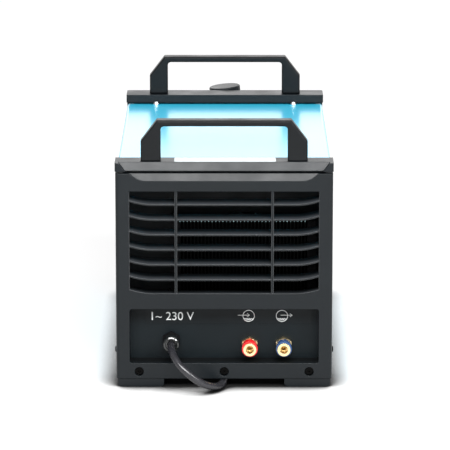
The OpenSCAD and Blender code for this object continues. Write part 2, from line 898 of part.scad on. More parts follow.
function path_length(p) = len(p) < 2 ? 0
    : [for (i = [0:len(p) - 2]) norm(p[i + 1] - p[i])] * [for (i = [0:len(p) - 2]) 1];
echo(coil_self_gap = coil_self_gap);
echo(cord_length = path_length(smooth(cord_points, 4)) + path_length(coil_path)
    + path_length(smooth(tail_points, 4)));

module power_cord() {
    color([0.1, 0.1, 0.11]) {
        tube(smooth(cord_points, 2 * cord_d), cord_r, 10);
        tube(smooth(tail_points, 2 * cord_d), cord_r, 10);
    }
}

module cord_coil() {
    color([0.1, 0.1, 0.11]) tube(coil_path, cord_r, 6);
}

module plug_frame() {
    // Places the plug: its axis is local +X, from the neck's end to the face
    last = tail_points[len(tail_points) - 1];
    translate(last)
        rotate([0, 0, 180])
            rotate([0, -plug_tilt, 0])
                children();
}

module plug() {
    l = plug_rim_l + 1;
    color([0.09, 0.09, 0.1])
        plug_frame()
            difference() {
                rotate([0, 90, 0])
                    rotate_extrude()
                        polygon([
                            [0, 0.05], [plug_neck_r - 0.6, 0.05], [plug_neck_r, 1],
                            [plug_neck_r + 1.2, plug_neck_l - 3], [plug_neck_r + 3.4, plug_neck_l],
                            [plug_r - 6.3, plug_neck_l + 8], [plug_r - 3.7, plug_neck_l + 20],
                            [plug_r - 0.9, l - 4], [plug_r, l - 1], [plug_r - 0.8, l], [0, l]
                        ]);
                for (sy = [-1, 1])
                    translate([l - 16, sy * (plug_groove_y + 5) - 5, -3])
                        cube([20, 10, 6]);
                for (sz = [-1, 1])
                    translate([l - plug_anchor_l, 0, sz * plug_pin_gap / 2])
                        rotate([0, 90, 0])
                            cylinder(d = plug_anchor_d + 2 * slide_fit, h = 2 * plug_anchor_l);
            }
}

module plug_contacts() {
    // Two round pins on thinner anchors, and the two earth strips in the side grooves
    l = plug_rim_l + 1;
    color([0.8, 0.8, 0.82])
        plug_frame() {
            for (sz = [-1, 1])
                translate([l, 0, sz * plug_pin_gap / 2])
                    rotate([0, 90, 0]) {
                        cylinder(d = plug_pin_d, h = plug_pin_l);
                        translate([0, 0, -plug_anchor_l])
                            cylinder(d = plug_anchor_d, h = plug_anchor_l + 1);
                    }
            for (sy = [-1, 1])
                translate([l - 8, sy * (plug_groove_y + 0.5) - 0.5, -2.2])
                    cube([7, 1, 4.4]);
        }
}

// ---------------------------------------------------------------- couplings
module coupling_body(x) {
    color([0.82, 0.66, 0.35])
        difference() {
            union() {
                rod_y(x, coupling_z, 0, recess_d - 1, coupling_barrel_d);
                hex_y(x, coupling_z, recess_d - coupling_hex_l, recess_d, coupling_hex);
                rod_y(x, coupling_z, recess_d - 1, barb_d0 - 2, coupling_thread_d);
                rod_y(x, coupling_z, barb_d0 - 2, barb_d0 + barb_l, barb_d);
            }
            rod_y(x, coupling_z, -1, socket_l, socket_d);
            rod_y(x, coupling_z, socket_l + seat_t, chamber_d1, poppet_d + 2 * slide_fit);
            rod_y(x, coupling_z, socket_l - 1, chamber_d1 + 1, seat_d);
            rod_y(x, coupling_z, chamber_d1, barb_d0 + barb_l + 1, barb_bore);
        }
}

module coupling_body_return() {
    coupling_body(return_x);
}

module coupling_body_supply() {
    coupling_body(supply_x);
}

module release_sleeve(x) {
    // Rests against the spring side of its travel and slides towards the panel
    bore = coupling_barrel_d + 2 * slide_fit;
    difference() {
        rod_y(x, coupling_z, sleeve_d0, sleeve_d1, sleeve_d);
        rod_y(x, coupling_z, sleeve_d0 - 1, sleeve_d1 + 1, bore);
        for (dy = [sleeve_d0 + 2.2, sleeve_d0 + 4.4])
            translate([x, rear_y + dy, coupling_z])
                rotate([-90, 0, 0])
                    difference() {
                        cylinder(d = sleeve_d + 2, h = 0.8);
                        translate([0, 0, -1]) cylinder(d = sleeve_d - 0.8, h = 3);
                    }
    }
}

module release_sleeve_red() {
    color([0.8, 0.07, 0.08]) release_sleeve(return_x);
}

module release_sleeve_blue() {
    color([0.1, 0.22, 0.5]) release_sleeve(supply_x);
}

module valve_pin(x) {
    // Poppet behind the seat ring, with a nose that a stem pushes in
    nose_r = seat_d / 2 - 0.2;
    color([0.6, 0.45, 0.22])
        translate([x, rear_y + socket_l, coupling_z])
            rotate([-90, 0, 0])
                rotate_extrude()
                    polygon([
                        [0, 1.2], [1.3, 1.2], [2, 0.2], [nose_r - 0.5, 0], [nose_r, 0.5],
                        [nose_r, seat_t + 0.1], [poppet_d / 2, seat_t + 0.1],
                        [poppet_d / 2, seat_t + poppet_l], [0, seat_t + poppet_l]
                    ]);
}

module valve_pin_return() {
    valve_pin(return_x);
}

module valve_pin_supply() {
    valve_pin(supply_x);
}

module coupling_locknuts() {
    color([0.8, 0.65, 0.35])
        for (x = [return_x, supply_x])
            difference() {
                hex_y(x, coupling_z, recess_d + panel_t, recess_d + panel_t + 4, 17);
                rod_y(x, coupling_z, recess_d, recess_d + 9, coupling_thread_d + 0.2);
            }
}

// ---------------------------------------------------------------- tank and nose
module on_neck() {
    // Frame of the leaning filler neck, with z = 0 at the neck's top
    translate([neck_x, rear_y + neck_d, neck_top])
        rotate([0, -neck_lean, 0])
            children();
}

module tank() {
    mid = (spout_x0 + spout_x1) / 2;
    spout_w = spout_x1 - spout_x0;
    color([0.85, 0.88, 0.86])
        difference() {
            union() {
                translate([0, rear_y + tank_d0, floor_z])
                    linear_extrude(tank_top - floor_z)
                        rounded(tank_w, tank_d1 - tank_d0, 12);
                translate([mid, rear_y + tank_d1 - 20, spout_z0])
                    linear_extrude(spout_z1 - spout_z0)
                        rounded(spout_w, spout_d1 - tank_d1 + 20, 6);
                for (z = [coupling_z, suction_z])
                    rod_y(return_x, z, tank_d0 - 16, tank_d0 + 1, barb_d);
            }
            translate([0, rear_y + tank_d0 + tank_wall, floor_z + tank_wall])
                linear_extrude(tank_top - floor_z - 2 * tank_wall)
                    rounded(tank_w - 2 * tank_wall, tank_d1 - tank_d0 - 2 * tank_wall, 9);
            translate([mid, rear_y + tank_d1 - 20 + tank_wall, spout_z0 + tank_wall])
                linear_extrude(spout_z1 - spout_z0 - 2 * tank_wall)
                    rounded(spout_w - 2 * tank_wall, spout_d1 - tank_d1 + 20 - 2 * tank_wall, 3);
            neck_hole();
            for (z = [coupling_z, suction_z])
                rod_y(return_x, z, tank_d0 - 17, tank_d0 + 10, barb_bore);
        }
}

module neck_hole() {
    on_neck()
        translate([0, 0, -neck_top + spout_z1 - 8])
            cylinder(d = neck_bore, h = neck_top);
}

module filler_neck() {
    // Leaning neck, welded to the top of the tank's spout
    color([0.85, 0.88, 0.86])
        difference() {
            on_neck()
                translate([0, 0, -neck_top + spout_z1 - 6])
                    cylinder(d = neck_od, h = neck_top - spout_z1 + 6);
            neck_hole();
            slab(-nose_w, nose_w, neck_d - neck_od, neck_d + neck_od, 0, spout_z1);
        }
}

function nose_profile(c) = [
    [body_l - 1 + c, nose_z0 + c], [total_l - 14 - c * 0.8, nose_z0 + c],
    [total_l - c, nose_z0 + 16 + c * 0.4], [total_l - c, nose_z1 - 30 - c * 0.3],
    [total_l - 5 - c, nose_z1 - 8 - c * 0.6], [total_l - 12 - c * 0.6, nose_z1 - c],
    [body_l - 1 + c, nose_z1 - c]
];

module nose_bar(c, w) {
    // Nose outline, drawn in by c, along the width w
    translate([-w / 2, rear_y, 0])
        rotate([90, 0, 90])
            linear_extrude(w)
                polygon(nose_profile(c));
}

module nose_hollow() {
    intersection() {
        union() {
            nose_bar(wall, nose_w - 2 * wall);
            slab(-nose_w / 2 + wall, nose_w / 2 - wall, body_l - 10, body_l + 8,
                nose_z0 + wall, nose_z1 - wall);
        }
        translate([0, 0, nose_z0])
            linear_extrude(nose_z1 - nose_z0)
                translate([0, rear_y + body_l - 20])
                    rounded(nose_w - 2 * wall, nose_l + 20 - wall, 5);
    }
}

module tank_nose() {
    color([0.17, 0.18, 0.19])
        difference() {
            union() {
                intersection() {
                    nose_bar(0, nose_w);
                    translate([0, 0, nose_z0 - 1])
                        linear_extrude(nose_z1 - nose_z0 + 2)
                            translate([0, rear_y + body_l - 20])
                                rounded(nose_w, nose_l + 20, 8);
                }
                slab(-nose_w / 2 - nose_flange, nose_w / 2 + nose_flange, body_l,
                    body_l + nose_flange_t, nose_z0 - 6, scoop_low - 1);
            }
            difference() {
                nose_hollow();
                upright(controls_d - wall, total_l)
                    translate([controls_x, controls_z0 - wall])
                        rounded(controls_w + 2 * wall, controls_h + 2 * wall, 5);
            }
            slab(-nose_w, nose_w, body_l - 20, body_l, 0, case_h);
            on_neck()
                translate([0, 0, -40])
                    cylinder(d = neck_od + 1, h = 60);
            upright(total_l - wall - 3, total_l + 1)
                translate([window_x, window_z0])
                    rounded(window_w, window_z1 - window_z0, window_w / 2);
            upright(controls_d, total_l + 1)
                translate([controls_x, controls_z0])
                    rounded(controls_w, controls_h, 4);
            slab(switch_x - switch_w / 2, switch_x + switch_w / 2, controls_d - wall - 3,
                total_l + 1, switch_z - switch_h / 2, switch_z + switch_h / 2);
            for (z = lamp_z)
                rod_y(lamp_x, z, controls_d - wall - 3, total_l + 1, lamp_d + 0.4);
            for (sx = [-1, 1])
                for (z = [nose_z0 + 4, scoop_low - 12])
                    rod_y(sx * (nose_w / 2 + nose_flange / 2), z, body_l - 1,
                        body_l + nose_flange_t + 1, 3.4);
        }
}

module level_window() {
    // Clear lens with a rim behind the nose wall
    color([0.75, 0.85, 0.88, 0.5]) {
        upright(total_l - wall - 1.5, total_l - wall)
            translate([window_x, window_z0 - 2])
                rounded(window_w + 4, window_z1 - window_z0 + 4, window_w / 2 + 2);
        upright(total_l - wall - eps, total_l - 0.6)
            translate([window_x, window_z0 + fit])
                rounded(window_w - 2 * fit, window_z1 - window_z0 - 2 * fit, window_w / 2 - fit);
    }
}

module filler_gasket() {
    color([0.15, 0.15, 0.15])
        on_neck()
            difference() {
                cylinder(d = neck_od, h = gasket_t);
                translate([0, 0, -1]) cylinder(d = neck_bore, h = gasket_t + 2);
            }
}

module filler_cap() {
    inner = neck_od + 1.2;
    color([0.12, 0.13, 0.14])
        on_neck()
            difference() {
                translate([0, 0, gasket_t + fit + cap_wall - cap_h])
                    rotate_extrude()
                        polygon([
                            [0, 0], [cap_d / 2 - 0.6, 0], [cap_d / 2, 0.8],
                            [cap_d / 2, cap_h - 1], [cap_d / 2 - 1, cap_h], [0, cap_h]
                        ]);
                translate([0, 0, -cap_h])
                    cylinder(d = inner, h = cap_h + gasket_t + fit);
                for (a = [0:18:342])
                    rotate([0, 0, a])
                        translate([cap_d / 2 + 0.5, 0, -cap_h])
                            cylinder(d = 2, h = 2 * cap_h);
            }
}

module switch_housing() {
    color([0.1, 0.1, 0.1])
        difference() {
            union() {
                slab(switch_x - switch_w / 2 - 2, switch_x + switch_w / 2 + 2, controls_d,
                    controls_d + 1.6, switch_z - switch_h / 2 - 2, switch_z + switch_h / 2 + 2);
                slab(switch_x - switch_w / 2 + fit, switch_x + switch_w / 2 - fit,
                    controls_d - switch_l, controls_d + eps,
                    switch_z - switch_h / 2 + fit, switch_z + switch_h / 2 - fit);
            }
            slab(switch_x - switch_w / 2 + 2, switch_x + switch_w / 2 - 2, controls_d - 9,
                controls_d + 3, switch_z - switch_h / 2 + 2, switch_z + switch_h / 2 - 2);
            translate([switch_x - 12.2, rear_y + controls_d - 3, switch_z])
                rotate([0, 90, 0])
                    cylinder(d = 2.1, h = 24.4);
        }
}

module power_rocker() {
    // Rocker at its off end: the lower half stands out
    h = switch_h / 2 - 3.2;
    w = switch_w - 4.8;
    color([0.75, 0.1, 0.08])
        translate([switch_x, rear_y + controls_d - 3, switch_z])
            rotate([rocker_angle, 0, 0]) {
                translate([-w / 2, 0, 0])
                    rotate([90, 0, 90])
                        linear_extrude(w)
                            polygon([
                                [-3, -h + 2.5], [4.6, -h], [3.4, 0], [4.6, h], [-3, h - 2.5]
                            ]);
                translate([-12, 0, 0])
                    rotate([0, 90, 0])
                        cylinder(d = 2, h = 24);
            }
}

module pilot_lamps() {
    color([0.2, 0.7, 0.3])
        for (z = lamp_z)
            translate([lamp_x, rear_y + controls_d, z])
                rotate([90, 0, 0])
                    rotate_extrude()
                        polygon([
                            [0, -3.4], [3.4, -2.6], [lamp_d / 2 - 1.4, -1.6],
                            [lamp_d / 2 + 1.4, -1.2], [lamp_d / 2 + 1.4, 0], [lamp_d / 2, 0],
                            [lamp_d / 2, 16], [0, 16]
                        ]);
}

module nose_screws() {
    color([0.1, 0.1, 0.11])
        for (sx = [-1, 1])
            for (z = [nose_z0 + 4, scoop_low - 12])
                translate([sx * (nose_w / 2 + nose_flange / 2), rear_y + body_l + nose_flange_t, z])
                    rotate([-90, 0, 0])
                        cylinder(d = 6, h = 1.8);
}

// ---------------------------------------------------------------- cooling inside
module bulkhead() {
    color([0.6, 0.62, 0.64])
        difference() {
            slab(-pan_x + sheet_t, pan_x - sheet_t, bulkhead_d, fan_d0, floor_z, bulkhead_z1);
            rod_y(fan_x, fan_z, bulkhead_d - 1, fan_d0 + 1, fan_bore);
            rod_y(return_x, coupling_z, bulkhead_d - 1, fan_d0 + 1, hose_d + 4);
            rod_y(core_x0 - header_w / 2, pressure_z, bulkhead_d - 1, fan_d0 + 1, hose_d + 4);
        }
}

module radiator_core() {
    // Comb of fins on a back plate
    n = floor((core_x1 - core_x0) / fin_pitch);
    color([0.75, 0.77, 0.78])
        translate([0, rear_y, core_z0])
            linear_extrude(core_z1 - core_z0)
                union() {
                    translate([core_x0, core_d1 - 6]) square([core_x1 - core_x0, 6]);
                    for (i = [0:n])
                        translate([core_x0 + i * fin_pitch, core_d0])
                            square([1, core_d1 - core_d0 - 5]);
                }
}

module radiator_tanks() {
    color([0.2, 0.2, 0.21])
        difference() {
            union() {
                for (x = [core_x0 - header_w, core_x1])
                    slab(x, x + header_w, core_d0, bulkhead_d, core_z0 - 4, core_z1);
                rod_y(core_x0 - header_w / 2, pressure_z, bulkhead_d - 1, bulkhead_d + 16, barb_d);
                rod_z(core_x1 + header_w / 2, (core_d0 + core_d1) / 2, coupling_z + hose_bend + 0.5,
                    core_z0 - 3, barb_d);
            }
            rod_y(core_x0 - header_w / 2, pressure_z, core_d1, bulkhead_d + 17, barb_bore);
            rod_z(core_x1 + header_w / 2, (core_d0 + core_d1) / 2, coupling_z, core_z0 + 8,
                barb_bore);
        }
}

module fan_frame() {
    color([0.12, 0.12, 0.13]) {
        difference() {
            upright(fan_d0, fan_d0 + fan_l)
                translate([fan_x, fan_z - fan_w / 2])
                    rounded(fan_w, fan_w, 6);
            rod_y(fan_x, fan_z, fan_d0 - 1, fan_d0 + fan_l + 1, fan_bore);
            for (sx = [-1, 1])
                for (sz = [-1, 1])
                    rod_y(fan_x + sx * fan_w * 0.44, fan_z + sz * fan_w * 0.44, fan_d0 - 1,
                        fan_d0 + fan_l + 1, 4.3);
        }
        rod_y(fan_x, fan_z, fan_d0 + fan_l - 6, fan_d0 + fan_l, fan_hub);
        rod_y(fan_x, fan_z, fan_d0 + 8, fan_d0 + fan_l - 5, fan_pin_d);
        for (a = [0, 90])
            translate([fan_x, rear_y + fan_d0 + fan_l - 5, fan_z])
                rotate([0, a + 45, 0])
                    translate([-fan_bore / 2 - 2, 0, -2])
                        cube([fan_bore + 4, 4, 4]);
    }
}

module fan_rotor() {
    d0 = fan_d0 + 3;
    l = fan_l - 10;
    color([0.1, 0.1, 0.11])
        difference() {
            union() {
                rod_y(fan_x, fan_z, d0, d0 + l, fan_hub);
                for (a = [0:360 / fan_blades:359])
                    translate([fan_x, rear_y + d0 + l / 2, fan_z])
                        rotate([0, a, 0])
                            translate([0, 0, fan_hub / 2 - 2])
                                rotate([0, 0, 35])
                                    translate([-15, -1, 0])
                                        cube([30, 2, fan_bore / 2 - fan_hub / 2 - 4]);
            }
            rod_y(fan_x, fan_z, d0 + 4, d0 + l + 1, fan_pin_d + 2 * slide_fit);
        }
}

module pump_motor() {
    color([0.3, 0.31, 0.33])
        difference() {
            union() {
                rod_y(pump_x, pump_z, motor_d0, motor_d0 + motor_l, motor_d);
                for (dy = [motor_d0 + 15, motor_d0 + motor_l - 35])
                    slab(pump_x - 40, pump_x + 40, dy, dy + 20, floor_z, pump_z - 20);
            }
            rod_y(pump_x, pump_z, motor_d0 - 1, motor_d0 + motor_l - 10, shaft_d + 1);
        }
}

module pump_head() {
    color([0.78, 0.62, 0.34])
        difference() {
            union() {
                rod_y(pump_x, pump_z, pump_d0, motor_d0, 2 * pump_r);
                rod_y(core_x0 - header_w / 2, pressure_z, pump_d0 - 16, pump_d0 + 4, barb_d);
                translate([pump_x, rear_y + pump_d0 + pump_l / 2, suction_z])
                    rotate([0, 90, 0])
                        cylinder(d = barb_d, h = pump_r + 10);
            }
            rod_y(pump_x, pump_z, pump_d0 + 8, motor_d0 - 8, 36);
            rod_y(pump_x, pump_z, motor_d0 - 9, motor_d0 + 1, shaft_d + 2 * slide_fit);
            rod_y(core_x0 - header_w / 2, pressure_z, pump_d0 - 17, pump_d0 + 10, barb_bore);
            translate([pump_x + 10, rear_y + pump_d0 + pump_l / 2, suction_z])
                rotate([0, 90, 0])
                    cylinder(d = barb_bore, h = pump_r + 10);
        }
}

module pump_rotor() {
    // Shaft of the motor with the vane rotor in the pump's chamber
    color([0.7, 0.71, 0.73]) {
        rod_y(pump_x, pump_z, motor_d0 - 10, motor_d0 + motor_l - 12, shaft_d);
        rod_y(pump_x, pump_z, pump_d0 + 10, motor_d0 - 10, 30);
    }
}

// ---------------------------------------------------------------- hoses
module elbow(c, u, v, r, d) {
    // Quarter bend about c, coming in along u and leaving along v
    w = cross(u, v);
    multmatrix([
        [-v[0], u[0], w[0], c[0]], [-v[1], u[1], w[1], c[1]], [-v[2], u[2], w[2], c[2]],
        [0, 0, 0, 1]
    ])
        rotate_extrude(angle = 90)
            translate([r, 0])
                circle(d = d);
}

module straight(a, b, d) {
    v = b - a;
    translate(a)
        rotate([0, acos(v[2] / norm(v)), atan2(v[1], v[0])])
            cylinder(d = d, h = norm(v));
}

module routed(p, r, d, over) {
    // Straight runs along the axes with quarter bends at the corners
    n = len(p);
    for (i = [0:n - 2]) {
        t = unit(p[i + 1] - p[i]);
        a = i == 0 ? p[0] - over * t : p[i] + r * t;
        b = i == n - 2 ? p[n - 1] + over * t : p[i + 1] - r * t;
        straight(a, b, d);
    }
    for (i = [1:1:n - 2]) {
        u = unit(p[i] - p[i - 1]);
        v = unit(p[i + 1] - p[i]);
        elbow(p[i] - r * u + r * v, u, v, r, d);
    }
}

module hose(p) {
    color([0.1, 0.1, 0.11])
        difference() {
            routed(p, hose_bend, hose_d, 0);
            routed(p, hose_bend, hose_bore, 1);
        }
}

supply_path = [
    [supply_x, rear_y + barb_d0, coupling_z],
    [supply_x, rear_y + (core_d0 + core_d1) / 2, coupling_z],
    [core_x1 + header_w / 2, rear_y + (core_d0 + core_d1) / 2, coupling_z],
    [core_x1 + header_w / 2, rear_y + (core_d0 + core_d1) / 2, core_z0 - 4.5]
];
return_path = [
    [return_x, rear_y + barb_d0, coupling_z], [return_x, rear_y + tank_d0 - 0.5, coupling_z]
];
pressure_path = [
    [core_x0 - header_w / 2, rear_y + bulkhead_d + 0.5, pressure_z],
    [core_x0 - header_w / 2, rear_y + pump_d0 - 0.5, pressure_z]
];
suction_path = [
    [pump_x + pump_r + 0.2, rear_y + pump_d0 + pump_l / 2, suction_z],
    [return_x, rear_y + pump_d0 + pump_l / 2, suction_z],
    [return_x, rear_y + tank_d0 - 0.5, suction_z]
];

module hose_supply() {
    hose(supply_path);
}

module hose_return() {
    hose(return_path);
}

module hose_pressure() {
    hose(pressure_path);
}

module hose_suction() {
    hose(suction_path);
}

module clip(x, dy, z) {
    difference() {
        rod_y(x, z, dy, dy + clip_w, clip_d);
        rod_y(x, z, dy - 1, dy + clip_w + 1, hose_d + 0.1);
    }
}

module hose_clips() {
    color([0.75, 0.76, 0.78]) {
        clip(supply_x, barb_d0 + 2, coupling_z);
        clip(return_x, barb_d0 + 2, coupling_z);
        clip(return_x, tank_d0 - 12, coupling_z);
        clip(return_x, tank_d0 - 12, suction_z);
        clip(core_x0 - header_w / 2, bulkhead_d + 5, pressure_z);
        clip(core_x0 - header_w / 2, pump_d0 - 12, pressure_z);
        translate([core_x1 + header_w / 2, rear_y + (core_d0 + core_d1) / 2, 0])
            difference() {
                translate([0, 0, coupling_z + hose_bend]) cylinder(d = clip_d, h = clip_w - 2);
                cylinder(d = hose_d + 0.1, h = case_h);
            }
        translate([0, rear_y + pump_d0 + pump_l / 2, suction_z])
            rotate([0, 90, 0])
                difference() {
                    translate([0, 0, pump_x + pump_r + 8]) cylinder(d = clip_d, h = clip_w);
                    cylinder(d = hose_d + 0.1, h = case_w);
                }
    }
}

module capacitor() {
    // Motor run capacitor, standing on the base pan
    color([0.8, 0.8, 0.78])
        rod_z(capacitor_x, capacitor_d0, floor_z, floor_z + capacitor_h, capacitor_d);
}

module terminal_block() {
    color([0.75, 0.74, 0.7])
        difference() {
            slab(terminal_x - terminal_w / 2, terminal_x + terminal_w / 2, terminal_d0,
                terminal_d0 + terminal_l, floor_z, floor_z + terminal_h);
            for (k = [0:4])
                for (x = [terminal_x - 10, terminal_x + 10])
                    rod_z(x, terminal_d0 + (k + 0.5) * terminal_l / 5, floor_z + 12,
                        floor_z + terminal_h + 1, 5);
        }
}

rear_bezel();
rear_trim();
rear_handle();
front_bezel();
front_trim();
front_handle();
cover();
base_pan();
feet();
connector_panel();
panel_label();
top_label();
handle_screws();
bezel_screws();
cover_screws();
side_screws();
gland_body();
gland_nut();
gland_locknut();
power_cord();
cord_coil();
plug();
plug_contacts();
coupling_body_return();
coupling_body_supply();
release_sleeve_red();
release_sleeve_blue();
valve_pin_return();
valve_pin_supply();
coupling_locknuts();
tank();
filler_neck();
tank_nose();
level_window();
filler_gasket();
filler_cap();
switch_housing();
power_rocker();
pilot_lamps();
nose_screws();
bulkhead();
radiator_core();
radiator_tanks();
fan_frame();
fan_rotor();
pump_motor();
pump_head();
pump_rotor();
hose_supply();
hose_return();
hose_pressure();
hose_suction();
hose_clips();
capacitor();
terminal_block();
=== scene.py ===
"""Looks, lights and camera of the torch cooling unit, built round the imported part.

Metres, in the part's own frame: +Z up, floor at z = 0, the connector end faces -Y.
"""
import math

import bpy
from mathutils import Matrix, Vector

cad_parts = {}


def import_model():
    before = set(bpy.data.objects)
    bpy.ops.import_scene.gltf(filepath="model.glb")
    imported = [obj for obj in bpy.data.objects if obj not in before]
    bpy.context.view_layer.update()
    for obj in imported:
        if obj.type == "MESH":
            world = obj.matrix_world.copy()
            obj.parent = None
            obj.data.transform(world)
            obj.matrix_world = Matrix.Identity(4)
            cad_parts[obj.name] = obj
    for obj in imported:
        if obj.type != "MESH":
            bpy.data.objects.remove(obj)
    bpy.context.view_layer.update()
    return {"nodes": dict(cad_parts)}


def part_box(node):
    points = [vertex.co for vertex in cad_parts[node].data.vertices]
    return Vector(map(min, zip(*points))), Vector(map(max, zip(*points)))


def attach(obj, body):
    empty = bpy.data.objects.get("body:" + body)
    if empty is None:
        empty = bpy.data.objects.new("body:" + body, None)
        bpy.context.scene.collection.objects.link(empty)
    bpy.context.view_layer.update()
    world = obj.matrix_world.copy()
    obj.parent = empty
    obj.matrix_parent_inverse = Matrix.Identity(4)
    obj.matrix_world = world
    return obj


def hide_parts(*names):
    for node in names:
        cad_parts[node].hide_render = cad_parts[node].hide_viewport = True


# ---------------------------------------------------------------- camera
CAMERA_AT = (0.0066, -3.7399, 0.9554)
CAMERA_DOWN = 12.46     # degrees below the horizon
CAMERA_TURN = 0.093     # degrees off the +Y axis
CAMERA_LENS = 259.2     # mm
SENSOR = 36             # mm
VIEW_DEPTH = 50

# ---------------------------------------------------------------- studio
# Name, place, size and radiance of each soft box; a radiance of 1 shows as white.
SOFTBOXES = (
    ("softbox_front", (0, -2.2, 1.78), (2.2, 1.0), 19.6),
    ("softbox_right", (1.7, -1.9, 1.5), (0.6, 0.9), 26),
    ("sweep_behind", (0, 3.4, 1.3), (4.0, 1.8), 1.42),
)
LIGHTS_AIM = (0, -0.1, 0.2)
WORLD_GLOW = 0.5
FLOOR_SIZE = 16
FLOOR_COLOR = (0.42, 0.42, 0.42)
FLOOR_GLOW = 0.5
SHADOW_COLOR = (0.01, 0.01, 0.01)
SHADOW_REACH = 0.045
SHADOW_RAMP = (0.5, 0.86)
WHITE = (1, 1, 1, 1)

# ---------------------------------------------------------------- places on the part
REAR_Y = -0.2525
NOSE_Y = 0.2525
LOUVRE_LOW = 0.104
LOUVRE_HIGH = 0.2225

# ---------------------------------------------------------------- printed marks
STRIP_Y = REAR_Y + 0.02375
MARK_Z = 0.0757
LINE_WIDTH = 0.00055
LINE_LIFT = 0.00012
RETURN_MARK_X = 0.0273
SUPPLY_MARK_X = 0.0645
TANK_R = 0.0064
LEVEL_Z = MARK_Z - 0.0034
LEVEL_HALF = 0.0048
WAVE_HEIGHT = 0.0006
WAVE_STEPS = 24
DASH_HALF = 0.0026
DASH_DROP = 0.0012
ARROW_Z = MARK_Z + 0.0008
ARROW_LENGTH = 0.0131
ARROW_HEAD = 0.0027
ARROW_SLOPE = 0.7
ARROW_TIP_IN = 0.0011
ARROW_TIP_OUT = 0.0116
TEXT_AT = (-0.0587, STRIP_Y - 0.0001, MARK_Z - 0.0048)
TEXT_SIZE = 0.0133
TEXT_DEPTH = 0.00004

# ---------------------------------------------------------------- mains lead, as in the part
CORD_D = 0.0084
CORD_R = CORD_D / 2
CORD_STEP = 0.004
CURVE_INSET = 0.00005
GLAND = (-0.059, REAR_Y + 0.003, 0.0473)
COIL_R = 0.0585
COIL_PITCH = 0.009
COIL_TURNS = 4.75
COIL_X = COIL_R
COIL_Y = NOSE_Y + 0.015 + CORD_R + COIL_R
TAIL_Y = COIL_Y - COIL_R
CORD_POINTS = [
    (GLAND[0], REAR_Y + 0.020, GLAND[2]), (GLAND[0], REAR_Y + 0.003, GLAND[2]),
    (GLAND[0], REAR_Y - 0.0035, GLAND[2]),
    (-0.058, REAR_Y - 0.014, 0.0448), (-0.055, REAR_Y - 0.0235, 0.040),
    (-0.0495, REAR_Y - 0.031, 0.0335), (-0.0415, REAR_Y - 0.0355, 0.0264),
    (-0.033, REAR_Y - 0.036, 0.0193), (-0.0235, REAR_Y - 0.033, 0.0127),
    (-0.014, REAR_Y - 0.026, 0.0078), (-0.0065, REAR_Y - 0.0145, 0.0049),
    (-0.002, REAR_Y, 0.0043), (-0.0005, REAR_Y + 0.016, 0.0042),
    (0.0005, REAR_Y + 0.034, 0.0042), (0.002, REAR_Y + 0.070, 0.0042),
    (0.004, REAR_Y + 0.120, 0.0042), (0.004, REAR_Y + 0.190, 0.0042),
    (0.001, REAR_Y + 0.260, 0.0042), (-0.002, REAR_Y + 0.330, 0.0042),
    (-0.003, REAR_Y + 0.400, 0.0042),
    (-0.001, REAR_Y + 0.460, 0.0042), (0.0, REAR_Y + 0.510, 0.0042),
    (0.0, COIL_Y - 0.020, 0.0042), (0.0, COIL_Y - CORD_D, 0.0042),
]
TAIL_POINTS = [
    (COIL_X - CORD_D, TAIL_Y, 0.0132), (COIL_X - 0.026, TAIL_Y, 0.0132),
    (COIL_X - 0.044, TAIL_Y, 0.0132), (-0.002, TAIL_Y, 0.0132), (-0.012, TAIL_Y, 0.0116),
    (-0.022, TAIL_Y, 0.0076), (-0.031, TAIL_Y, 0.005), (-0.038, TAIL_Y, 0.0042),
    (-0.044, TAIL_Y, 0.0045), (-0.052, TAIL_Y, 0.0064),
]

# Strap round the coil
TIE_WIDTH = 0.010
TIE_THICK = 0.0012
TIE_CORNER = 0.003
TIE_LOW = 0.0003
TIE_HIGH = CORD_D + COIL_PITCH

# ---------------------------------------------------------------- colours of shell and louvre
SHELL = (0.0030, 0.0048, 0.0062)
# Painted highlight on the slats' front edges.
SLAT_EDGE_HIGHLIGHT = (0.080, 0.083, 0.086)
# Painted sheen on the slats' tops near their front edges.
SLAT_TOP_SHEEN = (0.033, 0.036, 0.040)
# Painted shade deep inside the louvre.
SLAT_INSIDE_SHADE = (0.0005, 0.0006, 0.0007)
# Painted shade on the radiator fins and painted highlight on their top ends.
FIN_SHADE = (0.0015, 0.002, 0.002)
FIN_TOP_HIGHLIGHT = (0.50, 0.76, 0.80)


# ---------------------------------------------------------------- shader helpers
def shader(name, color, roughness, metallic=0.0, specular=0.5):
    """A new material with its node tree and its Principled shader."""
    mat = bpy.data.materials.new(name)
    mat.use_nodes = True
    tree = mat.node_tree
    bsdf = tree.nodes["Principled BSDF"]
    bsdf.inputs["Base Color"].default_value = (*color, 1)
    bsdf.inputs["Roughness"].default_value = roughness
    bsdf.inputs["Metallic"].default_value = metallic
    bsdf.inputs["Specular IOR Level"].default_value = specular
    return mat, tree, bsdf


def noise(tree, scale, detail=3.0, stretch=None):
    """Noise in the part's frame, in features per metre."""
    coords = tree.nodes.new("ShaderNodeTexCoord")
    node = tree.nodes.new("ShaderNodeTexNoise")
    node.inputs["Scale"].default_value = scale
    node.inputs["Detail"].default_value = detail
    source = coords.outputs["Object"]
    if stretch:
        mapping = tree.nodes.new("ShaderNodeMapping")
        mapping.inputs["Scale"].default_value = stretch
        tree.links.new(source, mapping.inputs["Vector"])
        source = mapping.outputs["Vector"]
    tree.links.new(source, node.inputs["Vector"])
    return node.outputs["Fac"]


def spread(tree, value, low, high, source=(0.3, 0.7)):
    """Runs from low to high while the value runs through the source range."""
    node = tree.nodes.new("ShaderNodeMapRange")
    node.inputs["From Min"].default_value = source[0]
    node.inputs["From Max"].default_value = source[1]
    node.inputs["To Min"].default_value = low
    node.inputs["To Max"].default_value = high
    tree.links.new(value, node.inputs["Value"])
    return node.outputs["Result"]


